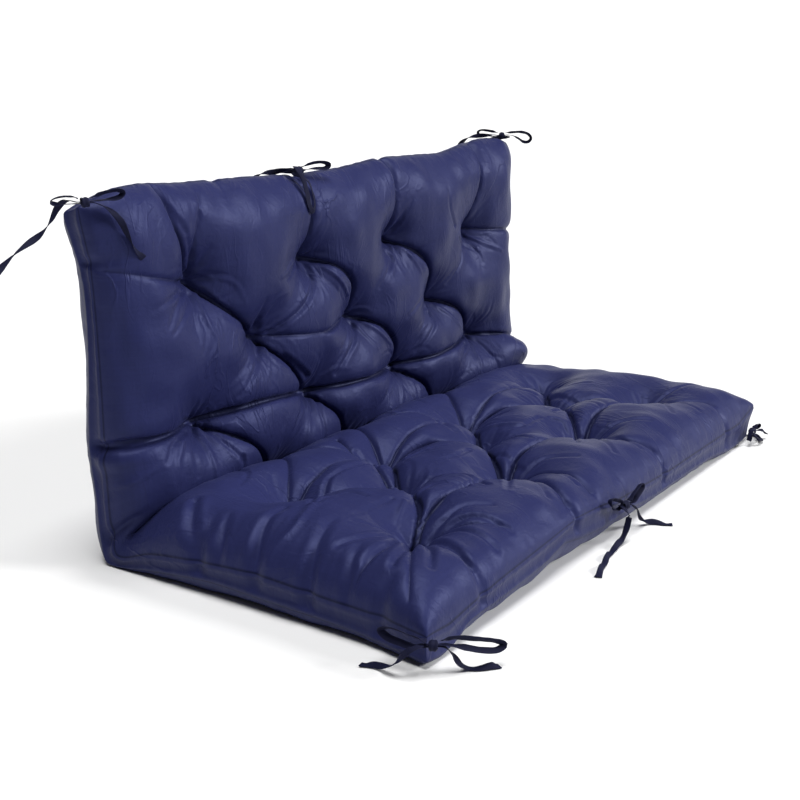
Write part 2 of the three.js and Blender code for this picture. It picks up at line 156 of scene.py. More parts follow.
bows = {
    "back_left": {
        "knot": (-0.611, 0.180, 0.572), "heading": -30, "tails": "turned",
        "loopA": ((-8, 5, 6), (-14, 9, 9), (-26, 17, 10), (-37, 23, 7), (-41, 25, 3), (-35, 23, 0),
                  (-22, 14, -1)),
        "tailA": ((17, -11, -4), (28, -19, -12), (40, -26, -28), (49, -30, -50), (59, -32, -72),
                  (73, -33, -88)),
        "loopB": ((8, -5, 6), (17, -10, 10), (31, -18, 14), (43, -24, 15), (49, -27, 11), (44, -25, 5),
                  (27, -16, 2)),
        "tailB": ((-14, 14, 3), (-16, 25, 2), (-19, 38, -8), (-26, 46, -26), (-40, 50, -42), (-68, 51, -56),
                  (-100, 51, -73), (-130, 50, -94), (-150, 48, -116)),
    },
    "back_middle": {
        "knot": (-0.127, 0.184, 0.583), "heading": 0, "tails": "turned",
        "loopA": ((-9, 0, 6), (-15, -5, 8), (-19, -15, 2), (-17, -24, -14), (-15, -29, -38),
                  (-14, -32, -58), (-6, -33, -69), (2, -31, -58), (1, -28, -38), (-3, -22, -18),
                  (-12, -13, -8), (-18, -3, -3)),
        "tailA": ((19, 8, -1), (22, 20, -1), (23, 40, -3), (24, 60, -4), (24, 82, -11), (24, 101, -30),
                  (24, 109, -62), (24, 110, -102), (24, 110, -140)),
        "loopB": ((9, 0, 6), (19, -3, 9), (38, -7, 12), (56, -12, 11), (66, -14, 6), (60, -13, 1),
                  (42, -9, 1), (24, -4, 1)),
        "tailB": ((-19, 8, 4), (-22, 20, 2), (-22, 40, -2), (-22, 60, -4), (-22, 82, -11), (-22, 101, -30),
                  (-22, 109, -62), (-22, 110, -112)),
    },
    "back_right": {
        "knot": (0.578, 0.188, 0.610), "heading": -55, "tails": "turned",
        "loopA": ((-5, 7, 6), (-11, 16, 9), (-19, 27, 12), (-26, 37, 13), (-30, 43, 9), (-28, 41, 3),
                  (-21, 30, 1), (-12, 18, -1)),
        "tailA": ((15, -8, -3), (22, 5, -4), (24, 26, -6), (22, 50, -10), (19, 72, -20), (16, 88, -46),
                  (14, 92, -90), (12, 92, -130)),
        "loopB": ((5, -7, 6), (14, -20, 7), (26, -36, 7), (34, -48, 2), (37, -53, -7), (34, -48, -14),
                  (28, -40, -14), (21, -30, -6), (13, -19, 0)),
        "tailB": ((-17, 10, 2), (-27, 9, 2), (-37, 18, 2), (-39, 39, 1), (-38, 62, -3), (-37, 86, -20),
                  (-36, 98, -54), (-36, 100, -100), (-36, 100, -140)),
    },
    "front_left": {
        "knot": (-0.619, -0.415, 0.043), "heading": -55, "tails": "flat",
        "loopA": ((-5, 7, 6), (-9, 16, 9), (-10, 32, 11), (-9, 50, 12), (-8, 68, 10), (-7, 77, 4),
                  (-8, 66, -2), (-9, 44, -4), (-10, 26, -4)),
        "tailA": ((13, -13, -6), (20, -16, -18), (28, -22, -34), (38, -28, -40), (46, -40, -41),
                  (56, -52, -41), (68, -58, -41)),
        "loopB": ((7, -8, 6), (20, -21, 8), (40, -35, 2), (58, -46, -4), (70, -54, -9), (76, -59, -14),
                  (68, -55, -19), (50, -42, -16), (30, -28, -7)),
        "tailB": ((-16, 12, 2), (-24, 18, -2), (-28, 30, -16), (-27, 50, -32), (-24, 66, -40),
                  (-24, 82, -41), (-27, 96, -41)),
    },
    "front_middle": {
        "knot": (-0.046, -0.413, 0.054), "heading": -20, "tails": "flat",
        "loopA": ((-9, 3, 6), (-18, 2, 12), (-34, 2, 19), (-48, 2, 25), (-55, 2, 24), (-54, 2, 17),
                  (-41, 2, 8), (-25, 4, -2)),
        "tailA": ((17, -6, -5), (30, -8, -18), (48, -6, -36), (64, -8, -49), (74, -20, -52), (80, -34, -52),
                  (88, -48, -52)),
        "loopB": ((9, -3, 6), (20, -3, 12), (36, -4, 19), (50, -4, 23), (56, -4, 18), (49, -4, 12),
                  (33, -5, 7), (19, -6, 2)),
        "tailB": ((-15, -1, 2), (-19, -10, -1), (-18, -15, -12), (-22, -14, -30), (-40, -12, -48),
                  (-88, -16, -52), (-142, -29, -52), (-180, -40, -52)),
    },
    "front_right": {
        "knot": (0.566, -0.413, 0.026), "heading": 0, "tails": "flat",
        "loopA": ((-8, -3, 6), (-16, -4, 6), (-26, -4, 0), (-31, -4, -8), (-26, -3, -13), (-18, -2, -8)),
        "tailA": ((17, -3, -2), (28, -6, -5), (39, -10, -10), (48, -13, -16)),
        "loopB": ((8, -1, 6), (16, -2, 9), (26, -3, 9), (31, -3, 5), (27, -2, 2), (20, -1, 1)),
        "tailB": ((-16, -7, 2), (-13, -14, -8), (-2, -17, -18), (14, -14, -23), (30, -5, -24),
                  (42, 10, -24), (46, 34, -24), (44, 66, -24), (47, 98, -24)),
    },
}


# A smooth curve through the points: between each two a cubic, whose slopes come from the square roots of
# the three distances around it. Returns points one step apart along it.
def strapCurve(points, step):
    points = np.concatenate(([2 * points[0] - points[1]], points, [2 * points[-1] - points[-2]]))
    spans = np.sqrt(np.linalg.norm(np.diff(points, axis=0), axis=1))[:, None]
    before, here, after = spans[:-2], spans[1:-1], spans[2:]
    a, b, c, d = points[:-3], points[1:-2], points[2:-1], points[3:]
    slopeIn = here * ((b - a) / before - (c - a) / (before + here) + (c - b) / here)
    slopeOut = here * ((c - b) / here - (d - b) / (here + after) + (d - c) / after)
    curve = cubic(b, c, slopeIn, slopeOut, np.linspace(0, 1, 40, endpoint=False)[:, None, None])
    curve = np.concatenate((curve.transpose(1, 0, 2).reshape(-1, 3), [points[-2]]))
    travelled = np.concatenate(([0], np.cumsum(np.linalg.norm(np.diff(curve, axis=0), axis=1))))
    even = np.linspace(0, travelled[-1], round(travelled[-1] / step) + 1)
    return np.stack([np.interp(even, travelled, column) for column in curve.T], axis=1)


# The direction of a strap's width at each point: across the knot at the middle, and carried along from
# there with no turn of its own.
def strapWidths(ahead, middle, across):
    widths = np.empty_like(ahead)
    widths[middle] = across - (across @ ahead[middle]) * ahead[middle]
    for step, stop in ((-1, -1), (1, len(ahead))):
        for i in range(middle + step, stop, step):
            widths[i] = widths[i - step] - (widths[i - step] @ ahead[i]) * ahead[i]
            widths[i] /= np.linalg.norm(widths[i])
    return widths


def turnedAbout(ahead, widths, angle):  # a strap's width directions, turned about it at each point
    angle = angle[:, None]
    return widths * np.cos(angle) + np.cross(ahead, widths) * np.sin(angle)


def drawnOut(share, power):  # takes the cos or sin of an oval nearer to the side of a rectangle
    return np.sign(share) * np.abs(share) ** power


# A strap: a flat rounded section carried along its route. The section's half width goes as cos, drawn out
# to a flat, its half thickness as sin, and the edges curl up by cup * (share of the half width) ^ 2.
def makeStrap(name, bow, letter, values, seed):
    side = 1 if letter == "A" else -1
    knot = np.array(bow["knot"])
    heading = radians(bow["heading"])
    forward = np.array((cos(heading), sin(heading), 0))
    across = np.array((forward[1], -forward[0], 0))
    middlePoint = knot - (0, 0, side * values["passGap"])
    straight = middlePoint + side * values["passReach"] * np.array((-1, 0, 1))[:, None] * forward
    loop, tail = (knot + millimetre * np.array(bow[part + letter]) for part in ("loop", "tail"))
    points = strapCurve(np.concatenate((loop, straight, tail)), values["step"])
    ahead = np.gradient(points, axis=0)
    ahead /= np.linalg.norm(ahead, axis=1, keepdims=True)
    middle = int(np.argmin(np.linalg.norm(points - middlePoint, axis=1)))
    widths = strapWidths(ahead, middle, across)
    past = (np.arange(len(points)) - middle) * values["step"]
    before, beyond = (np.maximum(sign * past - 2 * values["passReach"], 0) for sign in (-1, 1))
    fromStart, toEnd = past - past[0], past[-1] - past
    tilt = side * values["loopTilt"] * smooth(before, 0, values["loopEase"])
    widths = turnedAbout(ahead, widths, tilt * smooth(fromStart, 0, values["endEase"]))
    if bow["tails"] == "turned":
        widths = turnedAbout(ahead, widths, values["turn"] * beyond)
    else:
        level = np.cross((0, 0, 1), ahead)
        level *= np.where((level * widths).sum(axis=1) < 0, -1, 1)[:, None]
        share = smooth(beyond, 0, values["settleReach"])[:, None]
        widths = widths * (1 - share) + share * level / np.linalg.norm(level, axis=1, keepdims=True)
        widths /= np.linalg.norm(widths, axis=1, keepdims=True)
        lean = side * values["tailTilt"] * np.sin(np.pi * beyond / values["tailWave"]) ** 2
        lean = lean * smooth(toEnd, 0, values["endEase"])
        widths = turnedAbout(ahead, widths, lean)
        points[:, 2] += values["width"] / 2 * np.abs(np.sin(lean))
    normals = np.cross(ahead, widths)
    pinch = smooth(np.abs(past), values["knotLength"] / 2, 2 * values["passReach"])
    half = values["width"] / 2 * (values["pinch"] + (1 - values["pinch"]) * pinch)
    half *= 1 + values["endWidening"] * (1 - smooth(toEnd, 0, values["endReach"]))
    half *= 1 + values["widthWander"] * unevenLine(past + 1, values["widthWave"], seed)
    turn = np.linspace(0, 2 * np.pi, values["around"], endpoint=False)
    shareAcross, shareUp = (drawnOut(share, values["flatness"]) for share in (np.cos(turn), np.sin(turn)))
    cup = values["cup"] * pinch * unevenLine(past + 1, values["cupWave"], seed + 1)
    wave = values["crumple"] * unevenLine(past + 1, values["crumpleWave"], seed + 2) * pinch
    up = values["thick"] / 2 * shareUp + cup[:, None] * shareAcross**2 + wave[:, None] * shareAcross
    rings = points[:, None] + (half[:, None] * shareAcross)[..., None] * widths[:, None]
    rings = (rings + up[..., None] * normals[:, None])[::2]
    rings[..., 2] = np.maximum(rings[..., 2], values["lowest"])
    return tubeObject(name, rings, past[::2], half[::2, None] * shareAcross), past[-1] - past[0]


# A closed tube through rings of points, its two ends closed with a face each. The weave runs along it.
def tubeObject(name, rings, along, across):
    count, around = rings.shape[:2]
    ids = np.arange(count * around).reshape(count, around)
    sides = squares(np.pad(ids, ((0, 0), (0, 1)), mode="wrap"), over=True)
    ends = [ids[0, ::-1].tolist(), ids[-1].tolist()]
    made = meshObject(name, rings.reshape(-1, 3), sides.tolist() + ends, len(sides))
    weave = np.stack(np.broadcast_arrays(along[:, None] + 1, across + 1), axis=-1).reshape(-1, 2)
    giveWeave(made.data, weave[np.concatenate((sides.ravel(), *ends))])
    return made


# The turn of strap round both straps: a ring whose section is a flat oval, folded lengthwise into a few
# uneven pleats, |sin(pleats * place across + slant * sin(angle around))|, that run askew around it.
def makeKnot(name, bow, values, seed):
    heading = radians(bow["heading"])
    forward = np.array((cos(heading), sin(heading), 0))
    level = np.array((-forward[1], forward[0], 0))
    up = np.array((0, 0, 1))
    around = np.linspace(0, 2 * np.pi, values["knotAround"], endpoint=False)[:, None]
    section = np.linspace(0, 2 * np.pi, values["knotSection"], endpoint=False)[None]
    along = drawnOut(np.cos(section), values["knotFlatness"])
    thick = (values["knotOuter"] - values["knotInner"]) / 2
    radius = (values["knotOuter"] + values["knotInner"]) / 2 + thick * np.sin(section)
    pleat = np.abs(np.sin(values["pleats"] * along + values["pleatSlant"] * np.sin(around + seed) + seed))
    radius = radius + np.where(np.sin(section) > 0, values["pleatDepth"] * (pleat - 0.6), 0)
    length = values["knotLength"] / 2 * (1 + values["knotWander"] * np.sin(around * 2 + seed))
    ring = radius[..., None] * (np.cos(around)[..., None] * level + np.sin(around)[..., None] * up)
    ring = ring + (length * along)[..., None] * forward + np.array(bow["knot"])
    ids = np.arange(around.size * section.size).reshape(around.size, section.size)
    faces = squares(np.pad(ids, (0, 1), mode="wrap"), over=True)
    made = meshObject(name, ring.reshape(-1, 3), faces.tolist(), len(faces))
    laid = (values["knotWeave"] * around, values["knotLength"] / 2 * along)
    giveWeave(made.data, np.stack(np.broadcast_arrays(*laid), axis=-1).reshape(-1, 2)[faces.ravel()] + 1)
    return made


ties = {}
for number, (name, bow) in enumerate(bows.items()):
    knot = makeKnot(name + "_knotWrap", bow, tieValues, number)
    straps = [makeStrap(f"{name}_strap{letter}", bow, letter, tieValues, 10 * number + k)
              for k, letter in enumerate("AB")]
    for piece, node in ((knot, "knot"), (straps[0][0], "a"), (straps[1][0], "b")):
        ties[piece.name] = piece
        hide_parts(f"tie_{name}_{node}")
        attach(piece, "root")
    for k, (strap, length) in enumerate(straps):
        print(strap.name, "flat length", round(length, 3))

# The pad, in metres. A cell is a mesh cell of the top cloth.
padValues = {
    "halfWidth": 0.598,  # middle of the width to the seam at an end
    "cornerEar": 0.014,  # how far a corner stands out past the straight seam
    "earReach": 0.075,
    "topRoll": 0.074,  # from a seam in to the full height of the top cloth
    "underRoll": 0.125,
    "tuftReach": 0.046,  # how wide a tuft's dimple is
    "valleyDepth": 0.22,  # share of the crown lost along the line between two neighbouring tufts
    "valleyReach": 0.026,
    "longestValley": 0.205,
    "frontReach": 0.09,  # how far back from the front edge its rise and fall is felt
    "lowBulge": 0.038,  # how far the lowest band of the back stands out further at the right end
    "lowBulgeAt": 0.56,
    "lowBulgeAcross": 0.13,
    "lowBulgeAlong": 0.046,
    "cornerTuck": 0.045,  # how far the front corner on the right is drawn in at its bottom
    "tuckFrom": 0.500,
    "tuckReach": 0.150,
    "tuckHeight": 0.070,
    "cell": 0.005,
    "meshPull": 0.88,  # share of the way that the mesh points by a crease go over onto it
    "pullCells": (0.5, 2.5),  # distance from the crease, in cells, over which that dies away
    "creaseReach": 0.05,  # how far from a crease it is felt
    "creaseRise": 0.5,  # share of the full height up to which a crease fades towards a seam
    "startFill": 0.9,  # crown height before the pad swells, as a share of the full height
    "extraAcross": 0.07,  # how much wider and longer the cloth is cut than the pad that it covers
    "extraAlong": 0.08,
    "stripFlat": 0.036,  # width of the side strip laid out flat
    "stripRings": 6,
    "stripBelly": 0.004,
    "creaseHold": 0.35,  # how firmly the bottom of a crease stays where it is
    "heldCells": 0.55,  # how near to a crease, in cells, a point counts as its bottom
    "heldDepth": (0.002, 0.010),  # depth of a crease over which its hold sets in
    "tuftHold": 0.006,  # how near to a tuft a point is held fast
    "seamHold": 1.0,
    "stripHold": 0.6,
    "simQuality": 5,
    "simMass": 0.05,
    "simTension": 20,
    "simShear": 8,
    "simBending": 0.02,
    "simDamping": 5,
    "simBendingDamping": 0.5,
    "simPressure": 700,
    "simFrames": 5,
    "greatestMove": 0.03,
    "creaseLine": 0.5,  # the sharp line at the bottom of a main crease, as a share of its depth
    "creaseLineHalf": 0.0030,
    "deepestCrease": 0.014,
    "raysPerTuft": 15,
    "rayStart": 0.008,
    "rayLength": (0.03, 0.1),
    "rayDepth": (0.0008, 0.0022),
    "rayHalfWidth": (0.0026, 0.0042),
    "raySpacing": (0.55, 1.45),  # angle from ray to ray, as a share of an even one
    "rayBend": 0.7,  # how far at most a ray turns aside by its end, in radians
    "rayEnd": 0.15,  # its depth there, as a share of that at the tuft
    "underBend": 0.12,  # how far at most a crease of the under cloth bends aside, as a share of its length
    "underCrease": 0.004,  # its half width and its depth
    "lineShape": (1.0, 0.1),  # power and swelling of the relief of each kind of wrinkle
    "wrinkleShape": (1.5, 0.2),
    "rayShape": (1.8, 0.3),
    "underShape": (1.2, 0.2),
    "seamGroove": 0.0014,
    "seamGrooveHalf": 0.0022,
    "pucker": 0.0008,  # height of the small gathers along a seam
    "puckerStep": 0.011,
    "puckerReach": 0.012,
    "unevenness": 0.0016,
    "unevenWave": 0.07,
    "seamFade": 0.02,  # how far in from a seam the unevenness comes up in full
}

# The section of the pad, from the top of the back down to the fold and on to the front of the seat. Each row
# holds the place of the cloth at an end seam, at a tuft and on a crown, as (y, z).
topCloth = {
    "top": ((0.197, 0.574), (0.196, 0.574), (0.152, 0.578)),
    "back 1": ((0.198, 0.430), (0.197, 0.430), (0.146, 0.430)),
    "back 2": ((0.199, 0.305), (0.190, 0.305), (0.146, 0.305)),
    "back 3": ((0.203, 0.190), (0.184, 0.190), (0.143, 0.198)),
    "low band": ((0.206, 0.110), (0.181, 0.122), (0.130, 0.138)),
    "last of the back": ((0.203, 0.055), (0.181, 0.090), (0.146, 0.100)),
    "fold": ((0.194, 0.020), (0.182, 0.066), (0.174, 0.074)),
    "rear band": ((0.113, 0.039), (0.092, 0.078), (0.090, 0.112)),
    "seat 1": ((0.0, 0.050), (0.0, 0.068), (0.0, 0.118)),
    "seat 2": ((-0.098, 0.055), (-0.098, 0.068), (-0.098, 0.121)),
    "seat 3": ((-0.238, 0.048), (-0.238, 0.068), (-0.238, 0.121)),
    "front": ((-0.401, 0.048), (-0.401, 0.056), (-0.401, 0.112)),
}
underCloth = {
    "top": ((0.234, 0.564), (0.236, 0.564), (0.278, 0.564)),
    "back 1": ((0.216, 0.430), (0.236, 0.430), (0.284, 0.430)),
    "back 2": ((0.224, 0.305), (0.236, 0.305), (0.284, 0.305)),
    "back 3": ((0.238, 0.190), (0.236, 0.190), (0.284, 0.190)),
    "low band": ((0.230, 0.100), (0.226, 0.110), (0.281, 0.100)),
    "last of the back": ((0.229, 0.042), (0.224, 0.074), (0.276, 0.052)),
    "fold": ((0.221, 0.003), (0.206, 0.044), (0.236, 0.010)),
    "rear band": ((0.113, 0.014), (0.110, 0.046), (0.126, -0.026)),
    "seat 1": ((0.0, 0.025), (0.0, 0.046), (0.0, -0.026)),
    "seat 2": ((-0.098, 0.022), (-0.098, 0.046), (-0.098, -0.026)),
    "seat 3": ((-0.238, 0.017), (-0.238, 0.044), (-0.238, -0.026)),
    "front": ((-0.400, 0.004), (-0.400, 0.020), (-0.400, -0.010)),
}

# The long edges wander: x, and how far the edge lies above the section there.
topEdge = (
    (-0.612, -0.008), (-0.540, 0.014), (-0.490, 0.017), (-0.420, 0.012), (-0.250, 0.009), (-0.117, 0.004),
    (0.004, 0.007), (0.130, 0.018), (0.341, 0.014), (0.418, 0.024), (0.490, 0.035),
    (0.562, 0.034), (0.612, 0.022),
)
frontSeam = (
    (-0.612, -0.001), (-0.557, -0.008), (-0.426, 0.008), (-0.182, 0.026), (-0.115, 0.021), (-0.036, 0.009),
    (0.173, -0.001), (0.526, -0.001), (0.612, 0.022),
)
frontUnderSeam = (
    (-0.612, 0.003), (-0.575, -0.001), (-0.540, 0.005), (-0.505, 0.022), (-0.372, 0.025), (-0.290, 0.030),
    (-0.227, 0.044), (-0.170, 0.032), (-0.094, 0.023), (0.001, 0.024), (0.105, 0.016), (0.265, 0.016),
    (0.376, 0.014), (0.476, 0.0), (0.612, 0.001),
)

# The tufts of each row: x, and how far each lies past its row, towards the front of the seat.
tuftRows = {
    "back 1": ((-0.407, 0.001), (-0.133, 0.001), (0.130, -0.005), (0.408, 0.011)),
    "back 2": ((-0.267, -0.006), (-0.001, 0.0), (0.266, 0.009)),
    "back 3": ((-0.425, -0.010), (-0.136, 0.003), (0.137, 0.012), (0.418, -0.003)),
    "fold": ((-0.255, 0.0), (-0.032, 0.0), (0.266, 0.0)),
    "seat 1": ((-0.407, 0.0), (-0.148, 0.0), (0.118, 0.005), (0.426, 0.001)),
    "seat 2": ((-0.266, 0.020), (0.020, 0.002), (0.292, -0.008)),
    "seat 3": ((-0.425, 0.014), (-0.124, -0.006), (0.138, 0.0), (0.411, 0.0)),
}


# Distance of each row from the top of the back, measured along the tufts of the top cloth.
tuftLine = np.array([row[1] for row in topCloth.values()])
rowAt = np.concatenate(([0.0], np.cumsum(np.hypot(*np.diff(tuftLine, axis=0).T))))
rowNamed = dict(zip(topCloth, rowAt))
padLength = rowAt[-1]
tufts = np.array([(x, rowNamed[row] + shift) for row, placed in tuftRows.items() for x, shift in placed])


def inMetres(rows):
    return [(np.array(points) * millimetre, w * millimetre, a * millimetre, b * millimetre)
            for points, w, a, b in rows]


# The main creases of the top cloth, in millimetres: points as (x, distance from the top of the back), half
# width, depth at the first point and at the last.
mainCreases = inMetres((
    # from the top edge of the back down to its first row of tufts
    (((-470, 5), (-457, 65), (-412, 138)), 11, 6, 12),
    (((-395, 20), (-415, 80), (-407, 135)), 8, 3, 6),
    (((-155, 5), (-120, 30), (-128, 75), (-133, 135)), 9, 5, 9),
    (((135, 5), (130, 55), (130, 130)), 10, 3, 8),
    (((450, 5), (430, 70), (408, 145)), 11, 4, 9),
    # the diagonals between the rows of the back
    (((-407, 150), (-352, 197), (-272, 255)), 10, 13, 13),
    (((-262, 270), (-205, 322), (-140, 382)), 10, 14, 14),
    (((-125, 145), (-60, 165), (-10, 205), (-2, 260)), 11, 13, 13),
    (((2, 272), (68, 297), (122, 345), (135, 390)), 11, 13, 13),
    (((135, 143), (205, 175), (250, 225), (264, 270)), 11, 13, 13),
    (((270, 282), (332, 303), (385, 342), (416, 378)), 11, 13, 13),
    (((-274, 262), (-190, 270), (-100, 277), (-8, 268)), 12, 7, 6),
    # along the third row, and on to the ends
    (((-418, 374), (-350, 372), (-270, 372), (-142, 386)), 11, 15, 13),
    (((-130, 388), (-20, 394), (70, 396), (132, 396)), 11, 14, 13),
    (((142, 394), (240, 398), (330, 390), (412, 382)), 11, 13, 12),
    (((-590, 372), (-520, 378), (-430, 376)), 12, 6, 12),
    (((414, 152), (500, 160), (585, 168)), 12, 10, 4),
    (((422, 383), (500, 398), (590, 415)), 12, 11, 6),
    (((-590, 105), (-510, 125), (-415, 144)), 14, 3, 9),
    # from the third row down into the fold
    (((-420, 384), (-345, 430), (-262, 498)), 12, 12, 10),
    (((-132, 396), (-85, 440), (-40, 498)), 12, 12, 9),
    (((142, 404), (205, 450), (258, 500)), 12, 12, 9),
    # from the fold forwards to the first row of the seat
    (((-262, 530), (-310, 610), (-400, 686)), 13, 4, 8),
    (((-250, 530), (-205, 610), (-154, 684)), 13, 6, 9),
    (((-40, 530), (-90, 605), (-142, 684)), 13, 5, 9),
    (((-26, 530), (45, 610), (112, 684)), 13, 6, 9),
    (((260, 530), (190, 610), (124, 686)), 13, 5, 9),
    (((272, 530), (345, 610), (420, 684)), 13, 5, 8),
    # over the seat
    (((-150, 590), (-185, 670), (-230, 740), (-262, 800)), 13, 8, 15),
    (((-262, 815), (-300, 850), (-350, 905), (-420, 940)), 12, 16, 16),
    (((20, 798), (-30, 830), (-90, 890), (-124, 920)), 12, 16, 16),
    (((122, 700), (80, 740), (24, 786)), 13, 15, 15),
    (((-146, 696), (-200, 750), (-262, 805)), 11, 14, 15),
    (((296, 786), (240, 850), (142, 925)), 13, 15, 15),
    (((424, 696), (360, 740), (298, 778)), 13, 14, 14),
    (((-407, 696), (-350, 750), (-272, 806)), 16, 17, 17),
    (((-144, 694), (-90, 712), (-34, 742), (14, 784)), 13, 15, 15),
    (((122, 700), (190, 716), (250, 745), (288, 776)), 13, 15, 15),
    (((300, 788), (350, 850), (406, 925)), 12, 12, 13),
    (((-420, 940), (-350, 925), (-250, 935), (-130, 926)), 12, 15, 14),
    (((-124, 922), (-40, 905), (50, 915), (134, 928)), 12, 15, 14),
    (((142, 930), (230, 912), (320, 918), (406, 930)), 12, 14, 13),
    (((-407, 694), (-290, 682), (-150, 694)), 12, 9, 9),
    (((-144, 692), (-20, 680), (114, 694)), 12, 10, 10),
    (((124, 696), (270, 680), (420, 692)), 12, 10, 9),
    (((-430, 948), (-455, 1000), (-470, 1075)), 11, 11, 4),
    (((-418, 946), (-380, 1000), (-345, 1060)), 10, 9, 3),
    (((-434, 944), (-510, 965), (-585, 960)), 11, 10, 4),
    (((-432, 948), (-520, 1005), (-590, 1050)), 11, 9, 4),
    (((-126, 928), (-150, 990), (-190, 1075)), 10, 10, 6),
    (((-122, 930), (-100, 990), (-110, 1075)), 10, 9, 5),
    (((138, 934), (130, 1000), (150, 1070)), 11, 9, 4),
    (((411, 934), (430, 1000), (470, 1060)), 11, 9, 4),
))

